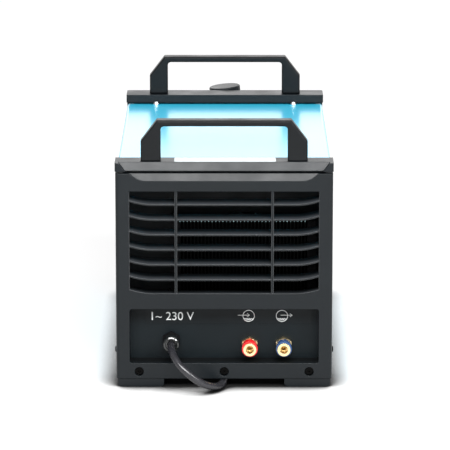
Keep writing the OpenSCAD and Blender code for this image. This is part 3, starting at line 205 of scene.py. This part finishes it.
def blend_colors(tree, factor, first, second):
    """From the first colour at 0 to the second at 1; a colour is a triple or a socket."""
    node = tree.nodes.new("ShaderNodeMix")
    node.data_type = "RGBA"
    for name, color in (("A", first), ("B", second)):
        socket = next(s for s in node.inputs if s.name == name and s.type == "RGBA")
        if isinstance(color, tuple):
            socket.default_value = (*color, 1)
        else:
            tree.links.new(color, socket)
    factor_in = next(s for s in node.inputs if s.name == "Factor" and s.type == "VALUE")
    tree.links.new(factor, factor_in)
    return next(s for s in node.outputs if s.type == "RGBA")


def multiply(tree, a, b):
    """Product of two values."""
    node = tree.nodes.new("ShaderNodeMath")
    node.operation = "MULTIPLY"
    tree.links.new(a, node.inputs[0])
    tree.links.new(b, node.inputs[1])
    return node.outputs["Value"]


def contact_shadow(tree, reach):
    """0 where the floor lies hidden under the object, 1 in the open."""
    node = tree.nodes.new("ShaderNodeAmbientOcclusion")
    node.samples = 16
    node.inputs["Distance"].default_value = reach
    return spread(tree, node.outputs["AO"], 0.0, 1.0, SHADOW_RAMP)


def shade(color, factor):
    """The colour made lighter or darker by a factor."""
    return tuple(min(1.0, c * factor) for c in color)


def mottle(tree, bsdf, color, amount, scale, stretch=None):
    """Cloudy variation of the base colour about its mean."""
    cloud = noise(tree, scale, 4.0, stretch)
    factor = spread(tree, cloud, 0.0, 1.0)
    mixed = blend_colors(tree, factor, shade(color, 1 - amount), shade(color, 1 + amount))
    tree.links.new(mixed, bsdf.inputs["Base Color"])
    return mixed


def uneven_gloss(tree, bsdf, roughness, amount, scale, stretch=None):
    """Cloudy variation of the roughness about its mean."""
    cloud = noise(tree, scale, 5.0, stretch)
    tree.links.new(
        spread(tree, cloud, max(0.02, roughness - amount), min(1.0, roughness + amount)),
        bsdf.inputs["Roughness"],
    )


def rounded_edges(tree, radius):
    """Normal that rounds the solid's sharp edges over this radius."""
    node = tree.nodes.new("ShaderNodeBevel")
    node.samples = 4
    node.inputs["Radius"].default_value = radius
    return node.outputs["Normal"]


def relief(tree, bsdf, scale, depth, radius, detail=2.0, stretch=None):
    """Fine surface relief on top of edges rounded over the radius."""
    bump = tree.nodes.new("ShaderNodeBump")
    bump.inputs["Distance"].default_value = depth
    tree.links.new(noise(tree, scale, detail, stretch), bump.inputs["Height"])
    tree.links.new(rounded_edges(tree, radius), bump.inputs["Normal"])
    tree.links.new(bump.outputs["Normal"], bsdf.inputs["Normal"])


def ramp_along(tree, axis, low, high, source):
    """Runs from low to high between two places along an axis of the part's frame."""
    coords = tree.nodes.new("ShaderNodeTexCoord")
    split = tree.nodes.new("ShaderNodeSeparateXYZ")
    tree.links.new(coords.outputs["Object"], split.inputs["Vector"])
    return spread(tree, split.outputs[axis], low, high, source)


def facing_up(tree):
    """1 on surfaces that face up, 0 on all others."""
    geometry = tree.nodes.new("ShaderNodeNewGeometry")
    split = tree.nodes.new("ShaderNodeSeparateXYZ")
    tree.links.new(geometry.outputs["Normal"], split.inputs["Vector"])
    return spread(tree, split.outputs["Z"], 0.0, 1.0, (0.6, 0.85))


def worn_and_highlit_edges(tree, bsdf, color, light, radius, amount):
    """Lighter arrises, partly wear and partly painted highlight: where the rounded normal
    leaves the flat one.
    """
    geometry = tree.nodes.new("ShaderNodeNewGeometry")
    dot = tree.nodes.new("ShaderNodeVectorMath")
    dot.operation = "DOT_PRODUCT"
    tree.links.new(rounded_edges(tree, radius), dot.inputs[0])
    tree.links.new(geometry.outputs["Normal"], dot.inputs[1])
    edge = spread(tree, dot.outputs["Value"], amount, 0.0, (0.75, 0.985))
    mixed = blend_colors(tree, edge, color, light)
    tree.links.new(mixed, bsdf.inputs["Base Color"])
    return edge, mixed


# ---------------------------------------------------------------- plastics
def moulded_plastic(name, color, roughness=0.38, specular=0.26, edge_wear_and_highlight=0.35, slatted=False):
    """Black moulding with a fine spark-eroded grain, and lighter arrises that are partly wear
    and partly painted highlight.
    """
    mat, tree, bsdf = shader(name, color, roughness, specular=specular)
    edge_radius = 0.0011
    cloud = mottle(tree, bsdf, color, amount=0.10, scale=14)
    uneven_gloss(tree, bsdf, roughness, amount=0.06, scale=35)
    # Lighter arrises by a factor of 3.2: partly wear, partly painted highlight.
    edge, mixed = worn_and_highlit_edges(tree, bsdf, cloud, shade(color, 3.2), edge_radius, edge_wear_and_highlight)
    if slatted:
        color_louvre(tree, bsdf, edge, mixed)
    relief(tree, bsdf, scale=900, depth=0.00014, radius=edge_radius, detail=4.0)
    return mat


def color_louvre(tree, bsdf, edge, color):
    """Slats: painted highlight along their front edges, painted sheen on their tops near the
    front, and painted shade that blackens them towards the inside.
    """
    blend = 0.004
    above = ramp_along(tree, "Z", 0.0, 1.0, (LOUVRE_LOW, LOUVRE_LOW + blend))
    below = ramp_along(tree, "Z", 1.0, 0.0, (LOUVRE_HIGH - blend, LOUVRE_HIGH))
    louvre = multiply(tree, above, below)
    # Painted highlight along the slats' front edges.
    fronts = ramp_along(tree, "Y", 1.0, 0.0, (REAR_Y + 0.002, REAR_Y + 0.004))
    sharpened = spread(tree, edge, 0.0, 1.0, (0.0, 0.3))
    edge_highlight = multiply(tree, multiply(tree, louvre, fronts), sharpened)
    pale = blend_colors(tree, edge_highlight, color, SLAT_EDGE_HIGHLIGHT)
    # Painted shade: the slats blacken towards the inside.
    depth = ramp_along(tree, "Y", 0.0, 0.85, (REAR_Y, REAR_Y + 0.012))
    shaded_inward = blend_colors(tree, depth, pale, SLAT_INSIDE_SHADE)
    # Painted sheen on the tops of the slats near the front.
    near = ramp_along(tree, "Y", 1.0, 0.0, (REAR_Y + 0.0005, REAR_Y + 0.009))
    top_sheen = multiply(tree, louvre, multiply(tree, facing_up(tree), near))
    tree.links.new(blend_colors(tree, top_sheen, shaded_inward, SLAT_TOP_SHEEN), bsdf.inputs["Base Color"])


def gloss_polyamide():
    """Wet-looking black nylon of the cable gland."""
    color = (0.005, 0.006, 0.006)
    mat, tree, bsdf = shader("gloss_polyamide", color, 0.12, specular=0.8)
    mottle(tree, bsdf, color, amount=0.15, scale=60)
    uneven_gloss(tree, bsdf, 0.12, amount=0.03, scale=150)
    relief(tree, bsdf, scale=500, depth=0.00001, radius=0.0004)
    return mat


def milky_polyethylene():
    """Blow-moulded tank that lets some light through."""
    color = (0.74, 0.78, 0.76)
    mat, tree, bsdf = shader("milky_polyethylene", color, 0.45)
    mottle(tree, bsdf, color, amount=0.05, scale=18)
    bsdf.inputs["Subsurface Weight"].default_value = 0.3
    bsdf.inputs["Subsurface Radius"].default_value = (0.004, 0.004, 0.004)
    relief(tree, bsdf, scale=220, depth=0.0001, radius=0.001)
    return mat


def clear_lens():
    """Clear window over the liquid level."""
    color = (0.86, 0.93, 0.95)
    mat, tree, bsdf = shader("clear_lens", color, 0.06)
    mottle(tree, bsdf, color, amount=0.03, scale=50)
    bsdf.inputs["Transmission Weight"].default_value = 0.85
    relief(tree, bsdf, scale=150, depth=0.00003, radius=0.0008)
    return mat


def sheath_rubber(name, color, roughness=0.38):
    """Smooth extruded sheath with a slight sheen and dust."""
    mat, tree, bsdf = shader(name, color, roughness, specular=0.5)
    mottle(tree, bsdf, color, amount=0.18, scale=70)
    uneven_gloss(tree, bsdf, roughness, amount=0.08, scale=180)
    relief(tree, bsdf, scale=900, depth=0.00005, radius=0.0004)
    return mat


# ---------------------------------------------------------------- paints and films
def gloss_paint():
    """Sky-blue enamel on steel: clear gloss with a faint orange peel."""
    color = (0.045, 0.60, 0.88)
    mat, tree, bsdf = shader("blue_enamel", color, 0.30, specular=0.5)
    mottle(tree, bsdf, color, amount=0.03, scale=9)
    bsdf.inputs["Coat Weight"].default_value = 1.0
    bsdf.inputs["Coat Roughness"].default_value = 0.22
    bsdf.inputs["Coat IOR"].default_value = 1.5
    relief(tree, bsdf, scale=260, depth=0.00002, radius=0.0008)
    return mat


def satin_panel(name, color, roughness=0.42, specular=0.25):
    """Satin paint or film on a flat sheet."""
    mat, tree, bsdf = shader(name, color, roughness, specular=specular)
    mottle(tree, bsdf, color, amount=0.12, scale=22)
    uneven_gloss(tree, bsdf, roughness, amount=0.07, scale=60)
    relief(tree, bsdf, scale=1100, depth=0.00004, radius=0.0003)
    return mat


def lacquer(name, color):
    """Glossy coloured lacquer."""
    mat, tree, bsdf = shader(name, color, 0.22, specular=0.5)
    mottle(tree, bsdf, color, amount=0.08, scale=90)
    bsdf.inputs["Coat Weight"].default_value = 0.4
    bsdf.inputs["Coat Roughness"].default_value = 0.08
    relief(tree, bsdf, scale=700, depth=0.00003, radius=0.0003)
    return mat


def white_film():
    """Blank white label."""
    color = (0.56, 0.61, 0.62)
    mat, tree, bsdf = shader("white_film", color, 0.5, specular=0.2)
    mottle(tree, bsdf, color, amount=0.03, scale=40)
    relief(tree, bsdf, scale=400, depth=0.00002, radius=0.0002)
    return mat


def printed_white():
    """White ink of the marks."""
    color = (0.78, 0.80, 0.80)
    mat, tree, bsdf = shader("printed_white", color, 0.5)
    mottle(tree, bsdf, color, amount=0.06, scale=400)
    relief(tree, bsdf, scale=1500, depth=0.00002, radius=0.0001)
    return mat


# ---------------------------------------------------------------- metals
def satin_steel(name, color, roughness=0.38, stretch=(1, 40, 40)):
    """Plated or blackened steel, with drawn streaks where it is stretched."""
    mat, tree, bsdf = shader(name, color, roughness, metallic=1.0)
    mottle(tree, bsdf, color, amount=0.08, scale=30, stretch=stretch)
    uneven_gloss(tree, bsdf, roughness, amount=0.08, scale=60, stretch=stretch)
    relief(tree, bsdf, scale=900, depth=0.00003, radius=0.0003, stretch=stretch)
    return mat


def bright_plating():
    """Bright nickel or zinc on small fasteners and contacts."""
    color = (0.86, 0.87, 0.88)
    mat, tree, bsdf = shader("bright_plating", color, 0.14, metallic=1.0)
    mottle(tree, bsdf, color, amount=0.05, scale=120)
    uneven_gloss(tree, bsdf, 0.16, amount=0.05, scale=300)
    relief(tree, bsdf, scale=700, depth=0.00002, radius=0.0004)
    return mat


def turned_brass(name, color, roughness):
    """Brass with the fine rings of the lathe."""
    mat, tree, bsdf = shader(name, color, roughness, metallic=1.0)
    mottle(tree, bsdf, color, amount=0.10, scale=180)
    uneven_gloss(tree, bsdf, roughness, amount=0.06, scale=500)
    relief(tree, bsdf, scale=1600, depth=0.00003, radius=0.0003, stretch=(1, 6, 1))
    return mat


def radiator_shade_and_highlight(box):
    """Fins black as painted shade, with bright ends at the upper front edge of the core's box
    as painted highlight.
    """
    mat, tree, bsdf = shader("radiator_shade_and_highlight", FIN_SHADE, 0.7, specular=0.05)
    front, top = box[0][1], box[1][2]
    # Painted highlight on the fins' top ends at the front.
    end = ramp_along(tree, "Z", 0, 1, (top - 0.0018, top - 0.0013))
    face = ramp_along(tree, "Y", 1, 0, (front + 0.0004, front + 0.0012))
    cloud = spread(tree, noise(tree, 160), 0.6, 1.0)
    lit_tops = multiply(tree, multiply(tree, end, face), cloud)
    mixed = blend_colors(tree, lit_tops, FIN_SHADE, FIN_TOP_HIGHLIGHT)
    tree.links.new(mixed, bsdf.inputs["Base Color"])
    uneven_gloss(tree, bsdf, 0.5, amount=0.1, scale=200)
    relief(tree, bsdf, scale=500, depth=0.00005, radius=0.0002)
    return mat


# ---------------------------------------------------------------- geometry helpers
def link(obj):
    """Puts the object into the scene."""
    bpy.context.scene.collection.objects.link(obj)
    return obj


def mesh_piece(name, verts, faces, mat):
    """A mesh of the scene's own that rides on the case."""
    mesh = bpy.data.meshes.new(name)
    mesh.from_pydata(verts, [], faces)
    mesh.update()
    mesh.materials.append(mat)
    piece = link(bpy.data.objects.new(name, mesh))
    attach(piece, "case")
    return piece


def line_piece(name, lines, mat):
    """Printed lines on the strip: flat ribbons just above its face.

    Each line is its (x, z) points and whether it closes on itself.
    """
    y = STRIP_Y - LINE_LIFT
    verts, faces = [], []
    for points, closed in lines:
        n = len(points)
        first = len(verts)
        for i, (x, z) in enumerate(points):
            before = points[i - 1] if i or closed else points[i]
            after = points[(i + 1) % n] if i < n - 1 or closed else points[i]
            along = Vector((after[0] - before[0], after[1] - before[1])).normalized()
            side = Vector((-along.y, along.x)) * LINE_WIDTH / 2
            verts += [(x + side.x, y, z + side.y), (x - side.x, y, z - side.y)]
        for i in range(n if closed else n - 1):
            a, b = first + 2 * i, first + 2 * ((i + 1) % n)
            faces.append((a, a + 1, b + 1, b))
    return mesh_piece(name, verts, faces, mat)


# ---------------------------------------------------------------- mains lead
def spline_point(a, b, c, d, t):
    """Catmull-Rom curve between b and c."""
    return 0.5 * (
        2 * b + (c - a) * t + (2 * a - 5 * b + 4 * c - d) * t ** 2
        + (3 * b - a - 3 * c + d) * t ** 3
    )


def smooth(points, step):
    """The curve through the points, in steps of about this length."""
    points = [Vector(p) for p in points]
    points = [2 * points[0] - points[1], *points, 2 * points[-1] - points[-2]]
    out = []
    for a, b, c, d in zip(points, points[1:], points[2:], points[3:]):
        n = max(1, round((c - b).length / step))
        out += [spline_point(a, b, c, d, k / n) for k in range(n)]
    return out + [points[-2]]


def coil_points(per_turn=60):
    """Spirals in on the floor and out again on top, as the part's coil does."""
    half = COIL_TURNS / 2
    out = []
    for i in range(round(per_turn * COIL_TURNS) + 1):
        turns = i / per_turn
        radius = COIL_R - COIL_PITCH * (half - abs(turns - half))
        climb = min(max((turns - half + 0.25) * 2, 0), 1)
        angle = math.pi - 2 * math.pi * turns
        out.append(Vector((
            COIL_X + radius * math.cos(angle),
            COIL_Y + radius * math.sin(angle),
            CORD_R + COIL_PITCH * (1 - math.cos(math.pi * climb)) / 2,
        )))
    return out


def make_cord(mat, tie_mat):
    """The whole lead, from inside the gland over the floor and the coil to the plug."""
    path = smooth(CORD_POINTS, CORD_STEP) + coil_points() + smooth(TAIL_POINTS, CORD_STEP)
    curve = bpy.data.curves.new("mains_lead", "CURVE")
    curve.dimensions = "3D"
    curve.bevel_depth = CORD_R - CURVE_INSET
    curve.bevel_resolution = 5
    curve.use_fill_caps = True
    spline = curve.splines.new("POLY")
    spline.points.add(len(path) - 1)
    for point, place in zip(spline.points, path):
        point.co = (*place, 1)
    curve.materials.append(mat)
    cord = link(bpy.data.objects.new("mains_lead", curve))
    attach(cord, "case")
    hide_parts("power_cord", "cord_coil")
    tie = make_tie(tie_mat)


def tie_outline(inner, outer):
    """Arc centres and angles round the strap's four corners, seen along Y."""
    corners = (
        (outer - TIE_CORNER, TIE_HIGH - TIE_CORNER, 0),
        (inner + TIE_CORNER, TIE_HIGH - TIE_CORNER, 90),
        (inner + TIE_CORNER, TIE_LOW + TIE_CORNER, 180),
        (outer - TIE_CORNER, TIE_LOW + TIE_CORNER, 270),
    )
    return [
        (x, z, math.radians(start + turn))
        for x, z, start in corners
        for turn in range(0, 91, 15)
    ]


def make_tie(mat):
    """Strap that holds the turns together on the far side of the coil."""
    outer = COIL_X + COIL_R - COIL_PITCH / 4 + CORD_R
    inner = COIL_X + COIL_R - COIL_PITCH * COIL_TURNS / 2 - CORD_R
    outline = tie_outline(inner, outer)
    verts = [
        (x + r * math.cos(angle), y, z + r * math.sin(angle))
        for y in (COIL_Y - TIE_WIDTH / 2, COIL_Y + TIE_WIDTH / 2)
        for r in (TIE_CORNER, TIE_CORNER - TIE_THICK)
        for x, z, angle in outline
    ]
    n = len(outline)
    rings = (0, 1, 3, 2)
    faces = [
        (a * n + i, a * n + (i + 1) % n, b * n + (i + 1) % n, b * n + i)
        for a, b in zip(rings, rings[1:] + rings[:1])
        for i in range(n)
    ]
    return mesh_piece("coil_tie", verts, faces, mat)


# ---------------------------------------------------------------- marks on the strip
def circle(x, z, r, steps=48):
    """Points round a circle."""
    angles = [math.radians(360 * i / steps) for i in range(steps)]
    return [(x + r * math.cos(angle), z + r * math.sin(angle)) for angle in angles]


def liquid_level(x):
    """Wavy line of the liquid in the tank symbol."""
    return [
        (x - LEVEL_HALF + 2 * LEVEL_HALF * i / WAVE_STEPS,
         LEVEL_Z + WAVE_HEIGHT * math.sin(i * math.pi / 3))
        for i in range(WAVE_STEPS + 1)
    ]


def flow_mark(name, x, outward, mat):
    """Tank symbol with a liquid level, and an arrow that goes in or comes out."""
    tip = x + (ARROW_TIP_OUT if outward else ARROW_TIP_IN)
    barb = ARROW_HEAD * ARROW_SLOPE
    dash_z = LEVEL_Z - DASH_DROP
    shaft = [(tip - ARROW_LENGTH, ARROW_Z), (tip, ARROW_Z)]
    head = [
        (tip - ARROW_HEAD, ARROW_Z + barb), (tip, ARROW_Z), (tip - ARROW_HEAD, ARROW_Z - barb)
    ]
    dash = [(x - DASH_HALF, dash_z), (x + DASH_HALF, dash_z)]
    lines = [(circle(x, MARK_Z, TANK_R), True)]
    lines += [(points, False) for points in (shaft, head, liquid_level(x), dash)]
    return line_piece(name, lines, mat)


def mains_mark(mat):
    """Plain mains voltage, the only lettering on the panel."""
    text = bpy.data.curves.new("mains_voltage", "FONT")
    text.body = "1~ 230 V"
    text.size = TEXT_SIZE
    text.align_x = "CENTER"
    text.extrude = TEXT_DEPTH
    text.materials.append(mat)
    mark = link(bpy.data.objects.new("mains_voltage", text))
    mark.location = TEXT_AT
    mark.rotation_euler = (math.radians(90), 0, 0)
    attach(mark, "case")
    return mark


# ---------------------------------------------------------------- camera and studio
def add_camera():
    data = bpy.data.cameras.new("camera")
    data.lens = CAMERA_LENS
    data.sensor_width = SENSOR
    data.clip_end = VIEW_DEPTH
    camera = link(bpy.data.objects.new("camera", data))
    camera.location = CAMERA_AT
    camera.rotation_euler = (math.radians(90 - CAMERA_DOWN), 0, math.radians(CAMERA_TURN))
    bpy.context.scene.camera = camera


def add_softbox(name, place, size, radiance):
    """Rectangular lamp of this radiance that looks at the object."""
    data = bpy.data.lights.new(name, "AREA")
    data.shape = "RECTANGLE"
    data.size, data.size_y = size
    data.energy = radiance * math.pi * size[0] * size[1]
    light = link(bpy.data.objects.new(name, data))
    light.location = place
    direction = Vector(LIGHTS_AIM) - Vector(place)
    light.rotation_euler = direction.to_track_quat("-Z", "Y").to_euler()


def add_world():
    world = bpy.data.worlds.new("studio")
    world.use_nodes = True
    background = world.node_tree.nodes["Background"]
    background.inputs["Color"].default_value = WHITE
    background.inputs["Strength"].default_value = WORLD_GLOW
    bpy.context.scene.world = world


def floor_paper():
    """White paper that glows, and turns dark where the object hides it."""
    mat, tree, bsdf = shader("studio_floor", FLOOR_COLOR, 0.6, specular=0.2)
    paper = mottle(tree, bsdf, FLOOR_COLOR, amount=0.01, scale=2)
    open_floor = contact_shadow(tree, SHADOW_REACH)
    shaded = blend_colors(tree, open_floor, SHADOW_COLOR, paper)
    tree.links.new(shaded, bsdf.inputs["Base Color"])
    bsdf.inputs["Emission Color"].default_value = WHITE
    glow = spread(tree, open_floor, 0.0, FLOOR_GLOW, (0, 1))
    tree.links.new(glow, bsdf.inputs["Emission Strength"])
    return mat


def add_floor():
    half = FLOOR_SIZE / 2
    corners = [(-half, -half, 0), (half, -half, 0), (half, half, 0), (-half, half, 0)]
    mesh = bpy.data.meshes.new("floor")
    mesh.from_pydata(corners, [], [(0, 1, 2, 3)])
    mesh.materials.append(floor_paper())
    link(bpy.data.objects.new("floor", mesh))


# ---------------------------------------------------------------- materials on the part
def dress(nodes, mat, *names):
    """Gives CAD nodes a material in all their slots."""
    for name in names:
        slots = nodes[name].data.materials
        for i in range(len(slots)):
            slots[i] = mat


def dress_case(nodes):
    dress(nodes, moulded_plastic("slatted_plastic", SHELL, slatted=True), "rear_bezel")
    housing = moulded_plastic("housing_plastic", SHELL)
    dress(nodes, housing, "front_bezel", "tank_nose", "feet")
    trim = moulded_plastic("trim_plastic", (0.0030, 0.0050, 0.0068))
    dress(nodes, trim, "rear_trim", "front_trim", "filler_cap")
    # Handles: stronger lighter arrises, partly wear and partly painted highlight.
    grip = moulded_plastic(
        "grip_plastic", (0.0026, 0.0034, 0.0042), roughness=0.36, specular=0.21, edge_wear_and_highlight=0.7
    )
    dress(nodes, grip, "rear_handle", "front_handle")
    dress(nodes, gloss_paint(), "cover")
    dress(nodes, white_film(), "top_label")


def dress_fasteners(nodes):
    black = satin_steel("blackened_steel", (0.006, 0.006, 0.006), 0.35, stretch=(1, 1, 1))
    dress(nodes, black, "bezel_screws", "side_screws", "nose_screws")
    dress(nodes, bright_plating(), "cover_screws", "hose_clips", "plug_contacts")
    zinc = satin_steel("galvanised_sheet", (0.50, 0.51, 0.53))
    dress(nodes, zinc, "base_pan", "handle_screws", "pump_rotor")


def dress_connectors(nodes):
    panel = satin_panel("panel_paint", (0.003, 0.0055, 0.0070), specular=0.16)
    dress(nodes, panel, "connector_panel")
    strip = satin_panel("strip_film", (0.003, 0.0052, 0.0066), 0.34, specular=0.16)
    dress(nodes, strip, "panel_label")
    dress(nodes, gloss_polyamide(), "gland_nut")
    dress(nodes, sheath_rubber("plug_rubber", (0.016, 0.016, 0.017), 0.5), "plug")
    brass = turned_brass("turned_brass", (0.90, 0.72, 0.42), 0.28)
    dress(
        nodes, brass, "coupling_body_return", "coupling_body_supply", "coupling_locknuts",
        "pump_head",
    )
    # Darker brass on the valve pins: painted shade deep in the couplings' bores.
    pins = turned_brass("shaded_brass", (0.30, 0.17, 0.05), 0.3)
    dress(nodes, pins, "valve_pin_return", "valve_pin_supply")
    dress(nodes, lacquer("red_lacquer", (0.70, 0.006, 0.008)), "release_sleeve_red")
    dress(nodes, lacquer("blue_lacquer", (0.010, 0.050, 0.16)), "release_sleeve_blue")


def dress_controls(nodes):
    switch = moulded_plastic(
        "switch_plastic", (0.012, 0.012, 0.013), roughness=0.3, specular=0.5, edge_wear_and_highlight=0.2
    )
    dress(nodes, switch, "switch_housing")
    dress(nodes, lacquer("rocker_red", (0.52, 0.02, 0.015)), "power_rocker")
    dress(nodes, lacquer("lamp_green", (0.03, 0.42, 0.10)), "pilot_lamps")
    dress(nodes, milky_polyethylene(), "tank", "filler_neck")
    dress(nodes, clear_lens(), "level_window")


def dress_inside(nodes):
    # Near-black bulkhead: painted shade inside the case.
    dress(nodes, satin_panel("inner_paint", (0.010, 0.011, 0.012), 0.7), "bulkhead")
    matt = satin_panel("matt_black", (0.003, 0.003, 0.0035), 0.75, specular=0.08)
    dress(
        nodes, matt, "gland_body", "gland_locknut", "radiator_tanks", "fan_frame", "fan_rotor"
    )
    rubber = sheath_rubber("hose_rubber", (0.014, 0.014, 0.015), 0.55)
    dress(
        nodes, rubber, "filler_gasket", "hose_supply", "hose_return", "hose_pressure",
        "hose_suction",
    )
    dress(nodes, radiator_shade_and_highlight(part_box("radiator_core")), "radiator_core")
    dress(nodes, satin_panel("motor_enamel", (0.05, 0.055, 0.06)), "pump_motor")
    dress(nodes, satin_panel("pale_plastic", (0.55, 0.54, 0.50)), "capacitor", "terminal_block")


# ---------------------------------------------------------------- scene
def main():
    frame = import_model()
    bpy.context.scene.view_settings.view_transform = "Standard"
    add_camera()
    make_cord(sheath_rubber("cord_rubber", (0.016, 0.016, 0.019), 0.27),
              sheath_rubber("tie_rubber", (0.03, 0.03, 0.032), 0.6))
    add_world()
    for softbox in SOFTBOXES:
        add_softbox(*softbox)
    add_floor()
    nodes = frame["nodes"]
    dress_case(nodes)
    dress_fasteners(nodes)
    dress_connectors(nodes)
    dress_controls(nodes)
    dress_inside(nodes)
    ink = printed_white()
    flow_mark("return_mark", RETURN_MARK_X, False, ink)
    flow_mark("supply_mark", SUPPLY_MARK_X, True, ink)
    mains_mark(ink)


main()
